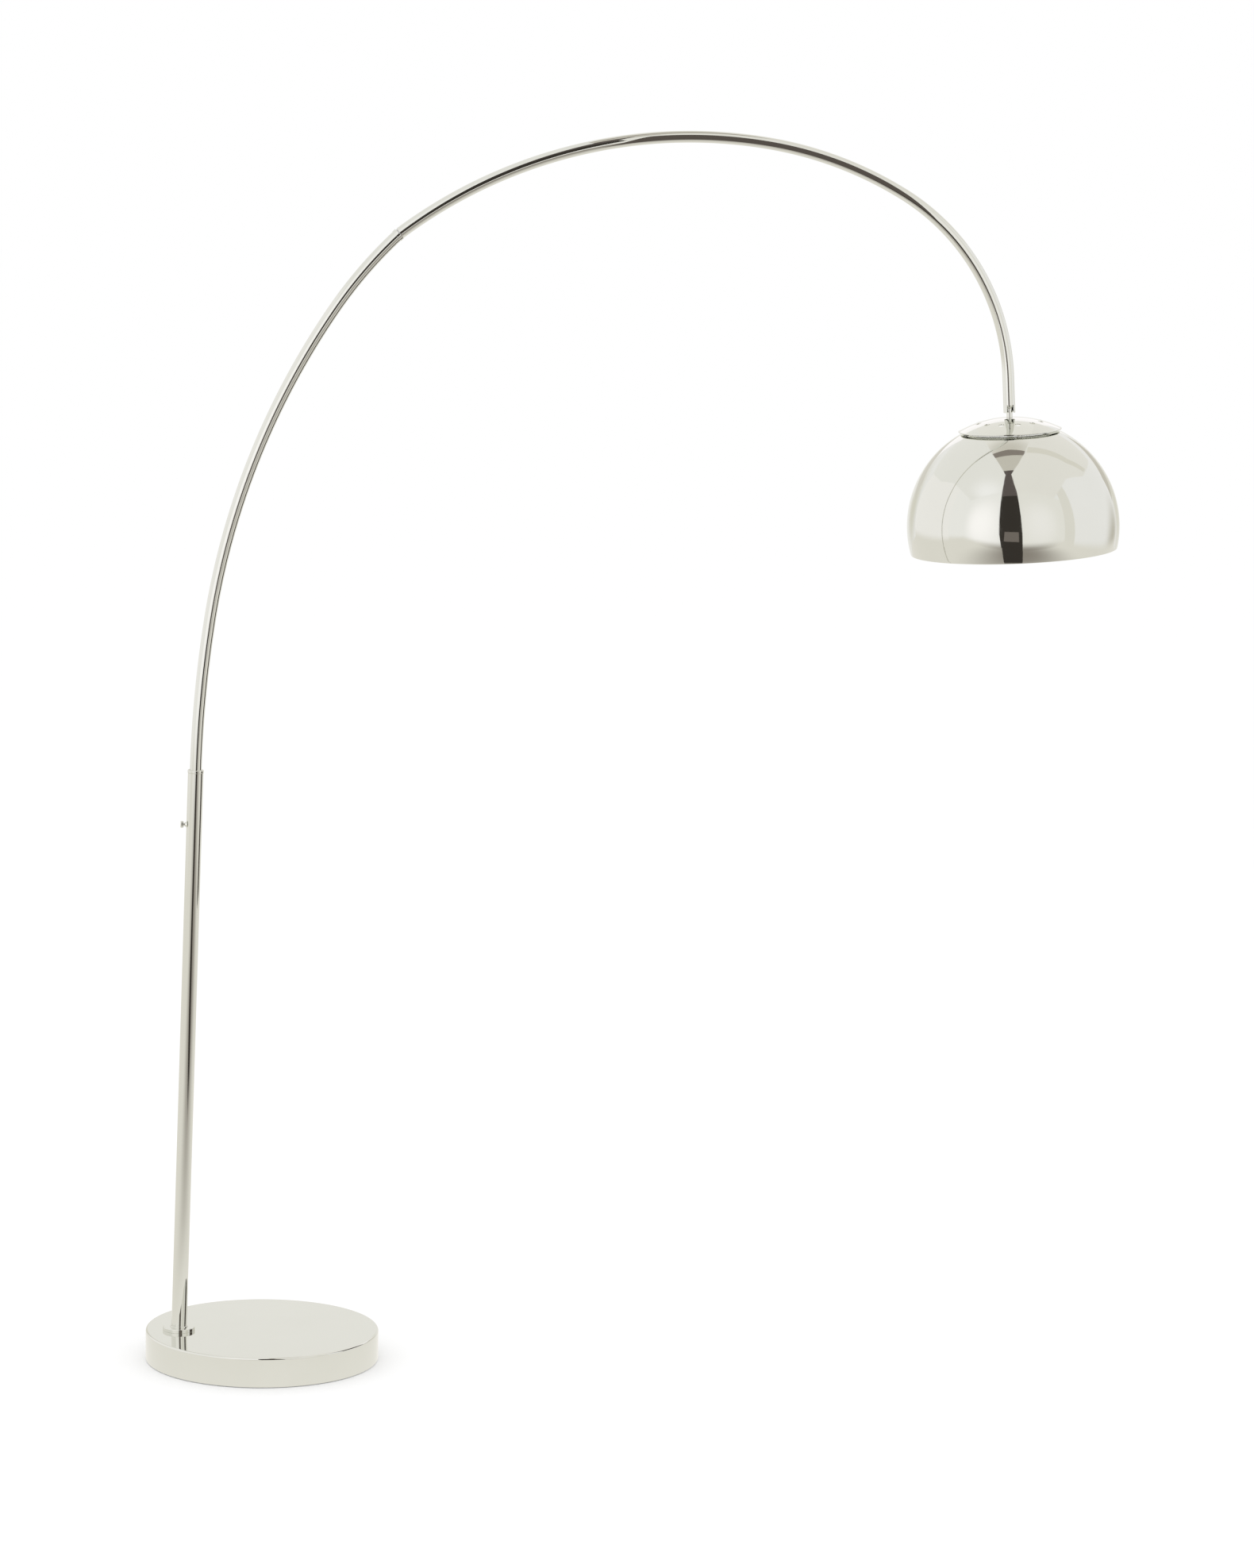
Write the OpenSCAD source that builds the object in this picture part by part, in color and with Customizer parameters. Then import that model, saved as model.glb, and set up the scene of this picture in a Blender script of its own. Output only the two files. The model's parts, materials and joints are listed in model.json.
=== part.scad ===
// Arc floor lamp: a weighted round base, an offset pole, a bowed tube in two lengths that
// slides and turns in the pole, and a dome shade that hangs from a ball joint.
// Millimetres. The origin is the centre of the base's underside, on the floor.
// +Z is up and +X points from the pole to the shade. The bow lies in the XZ plane.

/* [Base] */
// Diameter of the base
base_d = 380; // [340:1:420]
// Height of the base above the floor
base_h = 49.5; // [42:0.5:60]
// Wall of the base's metal cover
cover_wall = 1.2; // [0.8:0.1:2]
// Radius of the cover's rounded top edge
cover_edge = 3; // [2.2:0.1:6]
// Gap between the cover's lower edge and the floor
cover_lift = 1.5; // [0.5:0.1:2.2]
// Thickness of the foam pad that the lamp stands on
pad_t = 2.5; // [2.3:0.1:4]
// Thickness of the bottom plate
plate_t = 1.5; // [1:0.1:2.5]
// Distance from the base's rim in to the bottom plate's screws
base_screw_inset = 40; // [30:1:60]
// Shank radius of the bottom plate's screws
base_screw_r = 2; // [1.5:0.1:2.5]
// Number of screws in the bottom plate
base_screw_count = 4; // [3:1:6]

/* [Cord inlet] */
// Direction of the cord inlet, in degrees from +X towards +Y
inlet_angle = 150; // [140:1:160]
// Height of the cord inlet's axis above the floor
inlet_h = 11; // [11:0.5:14]
// Radius of the bore that the mains cord goes through
inlet_r = 3.2; // [2.8:0.1:3.4]
// Length of the grommet's bore
grommet_len = 12; // [9:0.5:14]
// Radius of the grommet's flanges
grommet_flange_r = 6.5; // [6.2:0.1:7]
// Radius of the flex inside the lamp
flex_r = 3; // [2.4:0.1:3]
// Distance from the base's rim in to the clip that holds the flex
clip_inset = 24; // [22:1:28]

/* [Pole] */
// Distance from the base's rim in to the pole
pole_inset = 54; // [50:1:70]
// Lean of the pole towards the shade, in degrees
pole_lean = 1.4; // [0:0.1:2]
// Height of the pole's top above the base, along the pole
pole_h = 925; // [800:1:1100]
// Outer radius of the pole
pole_r = 12.5; // [12.4:0.1:14]
// Wall of the pole
pole_wall = 1.2; // [1:0.1:1.3]
// Radius of the flange at the pole's foot
flange_r = 26; // [22:0.5:32]
// Height of the flange at the pole's foot
flange_h = 6; // [5:0.5:12]
// Radius of the threaded stud that holds the pole
stud_r = 8; // [7:0.1:8.5]
// Bore radius of the threaded stud
stud_bore = 4.3; // [4:0.1:5]
// Height of the collar on the pole's top
collar_h = 5; // [4:0.5:8]
// How far the collar stands out from the pole
collar_proud = 0.5; // [0.2:0.1:1.5]

/* [Height clamp] */
// How far the bow can be raised
travel = 200; // [100:5:240]
// Distance from the pole's top down to the clamp screw
clamp_drop = 89; // [80:1:110]
// Shank radius of the clamp screw
clamp_shank_r = 2.5; // [2:0.1:3]
// Height of the clamp screw's boss above the pole
boss_h = 2.9; // [2:0.1:5]
// Radius of the clamp screw's head
knob_r = 5.6; // [4.5:0.1:8]
// Thickness of the clamp screw's head
knob_t = 5; // [4:0.1:8]
// Gap between the clamp screw's head and its boss when it is tight
knob_gap = 1.7; // [1:0.1:3]

/* [Bow] */
// Outer radius of the bowed tubes
bow_r = 9.5; // [8.8:0.1:9.6]
// Wall of the bowed tubes
bow_wall = 1.2; // [1:0.1:1.3]
// Radius of the lower tube's first bend
lower_bend_1 = 1935; // [1500:5:2500]
// Angle of the lower tube's first bend
lower_angle_1 = 7.3; // [4:0.1:10]
// Radius of the lower tube's second bend
lower_bend_2 = 1210; // [1000:5:1400]
// Angle of the lower tube's second bend
lower_angle_2 = 25.5; // [20:0.1:30]
// Radius of the lower tube's last bend
lower_bend_3 = 707; // [600:1:900]
// Angle of the lower tube's last bend
lower_angle_3 = 12.7; // [8:0.1:16]
// Angle of the kink where the two tubes meet
kink_angle = 6; // [3:0.1:8]
// Radius of the upper tube's first bend
upper_bend_1 = 783; // [650:1:900]
// Angle of the upper tube's first bend
upper_angle_1 = 46.1; // [35:0.1:50]
// Radius of the upper tube's second bend
upper_bend_2 = 622; // [500:1:700]
// Angle of the upper tube's second bend
upper_angle_2 = 21.5; // [15:0.1:28]
// Radius of the upper tube's last bend
upper_bend_3 = 366; // [300:1:450]
// Angle of the upper tube's last bend
upper_angle_3 = 55.9; // [45:0.1:62]
// Straight length at the end of the upper tube
tip_len = 58; // [45:1:90]
// Length of the connector inside each tube
spigot_len = 45; // [35:1:70]
// Length of the ring on the lower tube's end
ferrule_len = 6; // [4:0.5:12]
// Thickness of the ring on the lower tube's end
ferrule_t = 0.8; // [0.4:0.1:1.5]

/* [Ball joint] */
// Distance from the tube's end up to the ball's centre
ball_depth = 13; // [12:0.5:15]
// Width of the slot in the tube's end
tip_slot_w = 10.6; // [10.4:0.1:12]
// Outer radius of the hollow stem
stem_r = 4.95; // [4.6:0.05:4.95]
// Bore radius of the hollow stem
stem_bore = 3.2; // [3.2:0.05:3.5]
// Length of stem that shows between the tube's end and the cap
stem_show = 7.3; // [7:0.1:40]

/* [Shade] */
// Outer radius of the shade's sphere
dome_r = 173; // [150:1:200]
// Wall of the shade and its cap
dome_wall = 0.8; // [0.6:0.1:1.2]
// Distance from the sphere's centre down to the rim
rim_drop = 40; // [20:1:60]
// Radius of the opening in the shade's top
dome_opening = 68; // [60:1:70]
// Radius of the vented cap
cap_r = 83; // [82:0.5:96]
// Gap between the shade and the vented cap
cap_gap = 4.4; // [1.5:0.1:5]
// Number of vent holes
vent_count = 12; // [6:1:14]
// Radius of a vent hole
vent_r = 4.7; // [3:0.1:6]
// Radius of the circle that the vent holes lie on
vent_ring = 52; // [45:1:58]
// Angle of the first vent hole round the cap, from the bow's plane
vent_first = 3; // [0:1:60]
// Radius of the circle that the cap's studs lie on
stud_ring = 75; // [74:0.5:76]
// Number of studs under the cap
cap_stud_count = 3; // [3:1:6]

/* [Lamp holder and bulb] */
// Distance from the sphere's centre up to the holder's top
holder_top = 140; // [132:1:143]
// Outer radius of the lamp holder
holder_r = 20; // [19:0.5:24]
// Wall of the lamp holder
holder_wall = 2; // [1.5:0.1:2.5]
// Length of the lamp holder's skirt
holder_skirt_len = 38; // [34:1:44]
// Radius of the bulb's glass
bulb_r = 30; // [24:1:34]
// Length of the bulb, its screw cap included
bulb_len = 105; // [95:1:120]
// Wall of the bulb's glass
bulb_wall = 1; // [0.6:0.1:1.5]

/* [Hidden] */

// Smoothness of small round parts, of large ones and of the bow's long bends
round_fn = 64;
disc_fn = 180;
bend_fn = 360;
// Extra length that lets a cut pass right through
through = 1;

// Clearances: faces that only touch, close fits, shafts that run, screws in their holes,
// and parts that keep apart
seat_gap = 0.02;
fit_gap = 0.05;
run_gap = 0.08;
hole_gap = 0.2;
clear_gap = 0.3;
// Where two steps of a bent tube join, every second step is thinner by seam_step
// and reaches seam_lap into its neighbours, so that the steps make one solid
seam_step = 0.05;
seam_lap = 0.5;

// Places in the base
pole_offset = base_d / 2 - pole_inset;
base_screw_ring = base_d / 2 - base_screw_inset;
clip_ring = base_d / 2 - clip_inset;
plate_z = pad_t;
weight_z = plate_z + plate_t;
base_in_h = base_h - cover_wall;
cover_in_r = base_d / 2 - cover_wall;
weight_r = cover_in_r - 0.8;
plate_r = cover_in_r - 0.5;
pad_r = cover_in_r - 4.8;
insert_r = base_screw_r + 1.2;
insert_len = 10;
base_screw_first = 45;
screw_end_gap = 1;
pad_hole_gap = 1;
screw_head_h = 1.8;
screw_head_r = base_screw_r * 1.9;
clip_screw_r = 1.45;
clip_screw_head_r = 2.9;
clip_screw_head_h = 1.6;
clip_size = [12, 24];
clip_screw_side = 8;
clip_top = 3;
clip_h = inlet_h + flex_r + clip_top - weight_z;
channel_gap = 1;
channel_w = 2 * grommet_flange_r + channel_gap;
channel_corner_r = channel_w / 2 + 4;
channel_h = inlet_h + grommet_flange_r + channel_gap - weight_z;
grommet_flange_t = 1.9;
grommet_neck_r = inlet_r + 1.8;
grommet_sleeve_r = inlet_r + 1.3;

// The foot of the pole: a pocket under the weight takes the stud's nut and washer
flex_rise_r = 12;
flex_plan_r = 25;
nut_h = 5;
washer_t = 2;
stud_z = inlet_h + flex_rise_r + 0.5;
nut_z = stud_z + 1;
washer_z = nut_z + nut_h;
pocket_h = washer_z + washer_t - weight_z;
pocket_r = 32;
washer_r = 25;
nut_r = (stud_r + 4) / cos(30);
plug_h = 30;
foot_z = base_h + flange_h;
foot_x = -pole_offset + flange_h * tan(pole_lean);
foot_ring_h = 1.6;
foot_ring_w = 1.9;
foot_ring_edge = 0.7;
flange_edge = 1;
stud_in_plug = 22;

// The route of the flex in the base: in from the clip, round a corner, up the stud
inlet_dir = [cos(inlet_angle), sin(inlet_angle)];
corner_ring = clip_ring - 26;
flex_start_ring = clip_ring + clip_size[0] / 2 + 3;
corner = corner_ring * inlet_dir;
to_pole = [-pole_offset, 0] - corner;
heading_in = inlet_angle - 180;
heading_pole = atan2(to_pole[1], to_pole[0]);
turn = heading_in - heading_pole;
corner_cut = flex_plan_r * tan(turn / 2);
flex_split = 65;
base_flex_steps = [
  [flex_start_ring - corner_ring - corner_cut],
  [flex_plan_r, turn, 90],
  [norm(to_pole) - corner_cut - flex_rise_r],
  [flex_rise_r, 90, -90],
  [base_h - inlet_h - flex_rise_r],
  [100, pole_lean, -180 - heading_pole],
  [flex_split - 100 * tan(pole_lean)]
];

// The pole and the height clamp, measured from the pole's axis
pole_bore = pole_r - pole_wall;
collar_r = pole_r + collar_proud;
collar_skirt = 8;
bush_r = pole_bore - fit_gap;
bush_len = 40;
boss_neck_r = clamp_shank_r + 1;
boss_foot_r = clamp_shank_r + 3;
boss_tip_r = clamp_shank_r + 0.7;
boss_start = pole_bore - 0.7;
boss_top = pole_r + boss_h;
pad_start = bow_r + hole_gap;
pad_end = pole_r;
screw_start = pad_end + fit_gap;
knob_edge = 1.2;
knob_start = boss_top + knob_gap;

// The bow: the tail in the pole is long enough to stay below the clamp when raised
tail_bush_len = 42.7;
tail_clip_t = 1.2;
tail_clip_z = tail_bush_len + 2 * clear_gap;
tail_reserve = 28.5;
tail_len = travel + clamp_drop + tail_clip_z + tail_clip_t + tail_reserve;
tail_flange_r = pole_bore - 0.4;
tail_flange_h = 2.5;
tail_plug_len = 15;
tail_clip_opening = 30;
bow_bore = bow_r - bow_wall;
kink_r = bow_r + 2.5;
kink = [kink_r, kink_angle];
lower_steps = [[tail_len], [lower_bend_1, lower_angle_1], [lower_bend_2, lower_angle_2],
               [lower_bend_3, lower_angle_3]];
upper_steps = [[upper_bend_1, upper_angle_1], [upper_bend_2, upper_angle_2],
               [upper_bend_3, upper_angle_3], [tip_len]];
spigot_r = bow_bore - 2 * fit_gap;
spigot_wall = 1.7;
grub_r = 2;
grub_back = 22;
grub_start = spigot_r - spigot_wall;
grub_sunk = 0.2;
grub_key_r = 1.1;
grub_key_depth = 1.5;

// The ball joint, measured down the stem from the ball's centre
ball_r = bow_bore - 0.4;
cup_r = ball_r + run_gap;
cup_outer_r = bow_bore - fit_gap;
cup_edge = 2.5;
seat_h = 16;
ball_ring_end = ball_depth - 3;
ball_mouth = stem_r + 2 * clear_gap;
stem_head_r = stem_r + 1;
stem_head = [2, 5];
stem_flex_up = 6;
arc_flex_up = ball_r + 0.4;
flex_hole = flex_r + 0.15;

// The shade, measured up from the centre of its sphere
dome_in_r = dome_r - dome_wall;
cap_in_r = dome_r + cap_gap;
cap_out_r = cap_in_r + dome_wall;
shade_drop = ball_depth + stem_show + cap_out_r;
collar_w = 12.75;
collar_out = dome_opening + collar_w;
dome_top = sqrt(dome_r * dome_r - collar_out * collar_out);
hem_r = 0.9;
cap_stud_r = 2;
cap_stud_len = 9;
cap_stud_first = 30;
cap_stud_nut_r = 3.5 / cos(30);
cap_stud_nut_h = 3;
spacer_r = 4.2;
stem_washer_r = 12;
stem_washer_t = 1;
stem_nut_r = 7 / cos(30);
stem_nut_h = 4;
cap_washer_z = height_at(cap_in_r, stem_washer_r) - seat_gap;

// The lamp holder and the bulb, measured up from the centre of the shade's sphere
holder_collar_r = 8;
holder_collar_h = 8;
holder_shoulder = holder_r - holder_collar_r;
holder_shoulder_z = holder_top - holder_collar_h - holder_shoulder;
holder_split = holder_shoulder_z - 8;
holder_end = holder_split - holder_skirt_len;
stem_start = holder_top - 10;
core_r = holder_r - holder_wall - 2 * fit_gap;
core_z = holder_split - 11;
core_h = 17;
terminal = [6, 8];
terminal_z = 6;
shell_r = 14;
shell_wall = 0.4;
shell_len = 23;
shell_flange_w = 1.5;
shell_flange_t = 0.6;
contact_r = 4;
contact_h = 2;
skirt_lip_h = 2.5;
skirt_lip_r = shell_r + 0.8;
bulb_cap_r = 13.1;
bulb_cap_h = 22;
bulb_ridge = 0.9;
bulb_pitch = 3.6;
bulb_tip_r = 4;
bulb_tip_h = 3;
bulb_top = core_z - contact_h;
bulb_neck_z = bulb_top - bulb_tip_h - bulb_cap_h;
bulb_neck_r = 13;
bulb_neck_h = 8;
bulb_cone = 62;
bulb_centre_z = bulb_top - bulb_len + bulb_r;

// Height of a sphere's surface above its centre, at a distance from its axis
function height_at(radius, off_axis) = sqrt(radius * radius - off_axis * off_axis);

// Angle of a bend of this length and radius
function bend_angle(length, radius) = length / radius * 180 / PI;

// ---------------------------------------------------------------- shapes

module ring_2d(outer, inner) {
  difference() {
    circle(outer, $fn = round_fn);
    if (inner > 0) circle(inner, $fn = round_fn);
  }
}

module ring(outer, inner, height, fn = round_fn) {
  difference() {
    cylinder(r = outer, h = height, $fn = fn);
    translate([0, 0, -through]) cylinder(r = inner, h = height + 2 * through, $fn = fn);
  }
}

// Half outline of a disc with a rounded top edge
module disc_2d(radius, height, edge) {
  square([radius - edge, height]);
  square([radius, height - edge]);
  translate([radius - edge, height - edge]) circle(edge, $fn = round_fn);
}

module rounded_disc(radius, height, edge, fn = round_fn) {
  rotate_extrude($fn = fn) intersection() {
    disc_2d(radius, height, edge);
    square([radius, height]);
  }
}

// Flat-sided nut whose radius is measured to its corners
module hex_nut(radius, bore, height) {
  difference() {
    cylinder(r = radius, h = height, $fn = 6);
    translate([0, 0, -through]) cylinder(r = bore, h = height + 2 * through, $fn = round_fn);
  }
}

// Pan-head screw that points up: its head lies below z = 0
module pan_screw(shank_r, shank_len, head_r, head_h) {
  slot = [head_r * 1.2, head_r * 0.28, head_h * 0.5];
  difference() {
    union() {
      cylinder(r = shank_r, h = shank_len, $fn = round_fn);
      rotate([180, 0, 0]) rounded_disc(head_r, head_h, head_h * 0.45);
    }
    for (a = [0, 90])
      rotate([0, 0, a]) translate([-slot[0] / 2, -slot[1] / 2, -head_h - through])
        cube([slot[0], slot[1], slot[2] + through]);
  }
}

module around(count, radius, first = 0) {
  for (i = [0 : count - 1]) rotate([0, 0, first + 360 * i / count]) translate([radius, 0, 0]) children();
}

// A run of tube or flex is a list of steps that starts up the Z axis. [length] is straight.
// [radius, angle] bends towards +X, and [radius, angle, roll] rolls about Z first.
function roll_of(step) = len(step) > 2 ? step[2] : 0;

module step_solid(step, outer, inner, before, after) {
  if (len(step) > 1)
    rotate([0, 0, roll_of(step)])
      translate([step[0], 0, 0]) rotate([0, -bend_angle(before, step[0]), 0]) rotate([90, 0, 180])
        rotate_extrude(angle = step[1] + bend_angle(before + after, step[0]), $fn = bend_fn)
          translate([step[0], 0]) ring_2d(outer, inner);
  else
    translate([0, 0, -before]) linear_extrude(step[0] + before + after) ring_2d(outer, inner);
}

module step_end(step) {
  if (len(step) > 1)
    rotate([0, 0, roll_of(step)])
      translate([step[0], 0, 0]) rotate([0, step[1], 0]) translate([-step[0], 0, 0]) children();
  else
    translate([0, 0, step[0]]) children();
}

module run(steps, outer, inner = 0, i = 0) {
  if (i < len(steps)) {
    thin = i % 2 == 1 ? seam_step : 0;
    lap = i % 2 == 1 ? seam_lap : 0;
    step_solid(steps[i], outer - thin, inner > 0 ? inner + thin : 0, lap,
               i < len(steps) - 1 ? lap : 0);
    step_end(steps[i]) run(steps, outer, inner, i + 1);
  }
}

module at_end_of(steps, i = 0) {
  if (i < len(steps)) step_end(steps[i]) at_end_of(steps, i + 1) children();
  else children();
}

// ---------------------------------------------------------------- places

// On the pole's axis, at a height above the base's top, with Z up the pole
module on_pole(height) {
  translate([-pole_offset, 0, base_h]) rotate([0, pole_lean, 0]) translate([0, 0, height]) children();
}

// On the clamp screw's axis, with Z pointing out of the pole
module on_clamp() {
  on_pole(pole_h - clamp_drop) rotate([0, -90, 0]) children();
}

// At the bow's tail inside the pole, with Z up the tube
module at_tail() {
  on_pole(pole_h - tail_len) children();
}

// At the lower tube's end, with Z along the tube and X to the inside of the bend
module at_joint() {
  at_tail() at_end_of(lower_steps) children();
}

// The same, but this far back along the lower tube
module before_joint(length) {
  at_joint() translate([lower_bend_3, 0, 0]) rotate([0, -bend_angle(length, lower_bend_3), 0])
    translate([-lower_bend_3, 0, 0]) children();
}

// At the upper tube's start and at its end, with Z along the tube
module at_upper() {
  at_joint() step_end(kink) children();
}

module at_tip() {
  at_upper() at_end_of(upper_steps) children();
}

// At the ball's centre, with Z down the stem
module at_ball() {
  at_tip() translate([0, 0, -ball_depth]) children();
}

// At the centre of the shade's sphere, with Z up the stem
module at_shade() {
  at_ball() translate([0, 0, shade_drop]) rotate([0, 180, 0]) children();
}

// On the cord inlet's axis, at the base's centre, with Z pointing out of the base
module on_inlet() {
  translate([0, 0, inlet_h]) rotate([0, 90, inlet_angle]) children();
}

// ---------------------------------------------------------------- base

module base_cover() {
  color("silver") difference() {
    translate([0, 0, cover_lift]) difference() {
      rounded_disc(base_d / 2, base_h - cover_lift, cover_edge, disc_fn);
      translate([0, 0, -through])
        rounded_disc(cover_in_r, base_in_h - cover_lift + through, cover_edge - cover_wall, disc_fn);
    }
    translate([-pole_offset, 0, base_in_h - through])
      cylinder(r = stud_r + clear_gap, h = cover_wall + 2 * through, $fn = round_fn);
    on_inlet() translate([0, 0, cover_in_r - through])
      cylinder(r = grommet_neck_r + fit_gap, h = cover_wall + 2 * through, $fn = round_fn);
  }
}

// The weight is cast round the inserts, with a pocket for the stud's nut and
// a channel for the flex
module base_weight() {
  color("darkgray") difference() {
    translate([0, 0, weight_z]) rotate_extrude($fn = disc_fn)
      polygon([[0, 0], [weight_r, 0], [weight_r, base_in_h - weight_z - cover_edge],
               [weight_r - cover_edge, base_in_h - weight_z], [0, base_in_h - weight_z]]);
    translate([-pole_offset, 0, weight_z - through]) {
      cylinder(r = pocket_r, h = pocket_h + through, $fn = round_fn);
      cylinder(r = stud_r + clear_gap, h = base_h, $fn = round_fn);
    }
    translate([0, 0, weight_z - through]) linear_extrude(channel_h + through) channel_2d();
    translate([0, 0, weight_z - through]) linear_extrude(clip_h + channel_gap + through)
      rotate([0, 0, inlet_angle]) translate([clip_ring, 0])
        square(clip_size + 2 * [channel_gap, channel_gap], center = true);
    around(base_screw_count, base_screw_ring, base_screw_first) translate([0, 0, weight_z - through])
      cylinder(r = insert_r + seat_gap, h = insert_len + channel_gap + through, $fn = round_fn);
  }
}

module channel_2d() {
  rotate([0, 0, inlet_angle]) translate([corner_ring, -channel_w / 2])
    square([base_d / 2 - corner_ring, channel_w]);
  translate(corner) circle(channel_corner_r, $fn = round_fn);
  translate(corner) rotate([0, 0, heading_pole]) translate([0, -channel_w / 2])
    square([norm(to_pole), channel_w]);
}

module weight_inserts() {
  color("goldenrod") around(base_screw_count, base_screw_ring, base_screw_first) translate([0, 0, weight_z])
    ring(insert_r, base_screw_r + fit_gap, insert_len);
}

module base_plate() {
  color("dimgray") difference() {
    translate([0, 0, plate_z]) cylinder(r = plate_r, h = plate_t, $fn = disc_fn);
    around(base_screw_count, base_screw_ring, base_screw_first) translate([0, 0, plate_z - through])
      cylinder(r = base_screw_r + hole_gap, h = plate_t + 2 * through, $fn = round_fn);
    at_clip_screws() translate([0, 0, plate_z - through])
      cylinder(r = clip_screw_r + hole_gap, h = plate_t + 2 * through, $fn = round_fn);
  }
}

module base_screws() {
  color("gainsboro") around(base_screw_count, base_screw_ring, base_screw_first) translate([0, 0, plate_z])
    pan_screw(base_screw_r, plate_t + insert_len - screw_end_gap, screw_head_r, screw_head_h);
}

module base_pad() {
  color("black") difference() {
    cylinder(r = pad_r, h = pad_t, $fn = disc_fn);
    around(base_screw_count, base_screw_ring, base_screw_first) translate([0, 0, -through])
      cylinder(r = screw_head_r + pad_hole_gap, h = pad_t + 2 * through, $fn = round_fn);
    at_clip_screws() translate([0, 0, -through])
      cylinder(r = clip_screw_head_r + pad_hole_gap, h = pad_t + 2 * through, $fn = round_fn);
  }
}

// A bush with a flange on each side of the cover's skirt and a sleeve inside
module cord_grommet() {
  inner_face = cover_in_r - clear_gap;
  outer_face = base_d / 2 + 2 * fit_gap;
  far_end = outer_face + grommet_flange_t;
  color("black") on_inlet() difference() {
    union() {
      translate([0, 0, inner_face - grommet_flange_t])
        cylinder(r = grommet_flange_r, h = grommet_flange_t, $fn = round_fn);
      translate([0, 0, inner_face - through])
        cylinder(r = grommet_neck_r, h = outer_face - inner_face + 2 * through, $fn = round_fn);
      translate([0, 0, outer_face]) rounded_disc(grommet_flange_r, grommet_flange_t, 0.8);
      translate([0, 0, far_end - grommet_len])
        cylinder(r = grommet_sleeve_r, h = grommet_len - grommet_flange_t, $fn = round_fn);
    }
    translate([0, 0, far_end - grommet_len - through])
      cylinder(r = inlet_r, h = grommet_len + 2 * through, $fn = round_fn);
  }
}

module at_clip_screws() {
  rotate([0, 0, inlet_angle]) for (side = [-1, 1])
    translate([clip_ring, side * clip_screw_side, 0]) children();
}

module cord_clip() {
  color("whitesmoke") difference() {
    rotate([0, 0, inlet_angle]) translate([clip_ring - clip_size[0] / 2, -clip_size[1] / 2, weight_z])
      cube([clip_size[0], clip_size[1], clip_h]);
    on_inlet() translate([0, 0, clip_ring - clip_size[0]])
      cylinder(r = flex_r + seat_gap, h = 2 * clip_size[0], $fn = round_fn);
    at_clip_screws() translate([0, 0, weight_z - through])
      cylinder(r = clip_screw_r + fit_gap, h = clip_h - screw_end_gap + through, $fn = round_fn);
  }
}

module clip_screws() {
  color("gainsboro") at_clip_screws() translate([0, 0, plate_z])
    pan_screw(clip_screw_r, plate_t + clip_h - 2 * screw_end_gap, clip_screw_head_r, clip_screw_head_h);
}

module base_flex() {
  color("dimgray") on_inlet() translate([0, 0, flex_start_ring]) rotate([0, 180, 0])
    run(base_flex_steps, flex_r);
}

// ---------------------------------------------------------------- pole

module pole_flange() {
  color("silver") translate([-pole_offset, 0, base_h]) difference() {
    rounded_disc(flange_r, flange_h, flange_edge);
    translate([0, 0, -through]) cylinder(r = stud_r + fit_gap, h = flange_h + 2 * through, $fn = round_fn);
  }
}

module foot_ring() {
  color("silver") translate([foot_x, 0, foot_z]) rotate_extrude($fn = round_fn)
    translate([pole_r + 2 * fit_gap, 0]) {
      square([foot_ring_w - foot_ring_edge, foot_ring_h]);
      square([foot_ring_w, foot_ring_h - foot_ring_edge]);
      translate([foot_ring_w - foot_ring_edge, foot_ring_h - foot_ring_edge])
        circle(foot_ring_edge, $fn = round_fn);
    }
}

module pole_stud() {
  color("gray") translate([-pole_offset, 0, stud_z])
    ring(stud_r, stud_bore, foot_z + stud_in_plug - stud_z);
}

module stud_washer() {
  color("gray") translate([-pole_offset, 0, washer_z]) ring(washer_r, stud_r + hole_gap, washer_t);
}

module stud_nut() {
  color("gray") translate([-pole_offset, 0, nut_z]) hex_nut(nut_r, stud_r + fit_gap, nut_h);
}

// Everything below the flange's top
module below_foot() {
  side = 4 * flange_r;
  translate([-pole_offset - side / 2, -side / 2, foot_z - side]) cube(side);
}

module pole_plug() {
  color("gray") difference() {
    on_pole(0) cylinder(r = pole_bore - fit_gap, h = flange_h + plug_h, $fn = round_fn);
    below_foot();
    translate([-pole_offset, 0, base_h]) cylinder(r = stud_r + fit_gap, h = 2 * plug_h, $fn = round_fn);
  }
}

module pole_tube() {
  color("silver") difference() {
    on_pole(0) ring(pole_r, pole_bore, pole_h - collar_h);
    below_foot();
    on_clamp() translate([0, 0, pole_r / 2])
      cylinder(r = boss_neck_r + seat_gap, h = pole_r, $fn = round_fn);
  }
}

// A chamfered ring that sits on the pole's end, with a skirt inside the pole
module pole_collar() {
  bore = bow_r + clear_gap;
  chamfer = min(0.7, collar_h / 4);
  color("silver") on_pole(pole_h - collar_h) rotate_extrude($fn = round_fn)
    polygon([[bore, -collar_skirt], [bush_r, -collar_skirt], [bush_r, 0],
             [collar_r - chamfer, 0], [collar_r, chamfer], [collar_r, collar_h - chamfer],
             [collar_r - chamfer, collar_h], [bore, collar_h]]);
}

module guide_bush() {
  color("whitesmoke") on_pole(pole_h - collar_h - collar_skirt - clear_gap - bush_len)
    ring(bush_r, bow_r + run_gap, bush_len);
}

// A threaded boss through the pole's wall, with a cone outside
module clamp_boss() {
  color("silver") difference() {
    union() {
      on_clamp() translate([0, 0, boss_start])
        cylinder(r = boss_neck_r, h = pole_r + 0.5 - boss_start, $fn = round_fn);
      difference() {
        on_clamp() translate([0, 0, pole_bore - through])
          cylinder(r1 = boss_foot_r, r2 = boss_tip_r, h = boss_top - pole_bore + through, $fn = round_fn);
        on_pole(pole_h - clamp_drop - pole_r)
          cylinder(r = pole_r + seat_gap, h = 2 * pole_r, $fn = round_fn);
      }
    }
    on_clamp() cylinder(r = clamp_shank_r + fit_gap, h = 2 * pole_r, $fn = round_fn);
  }
}

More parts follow.
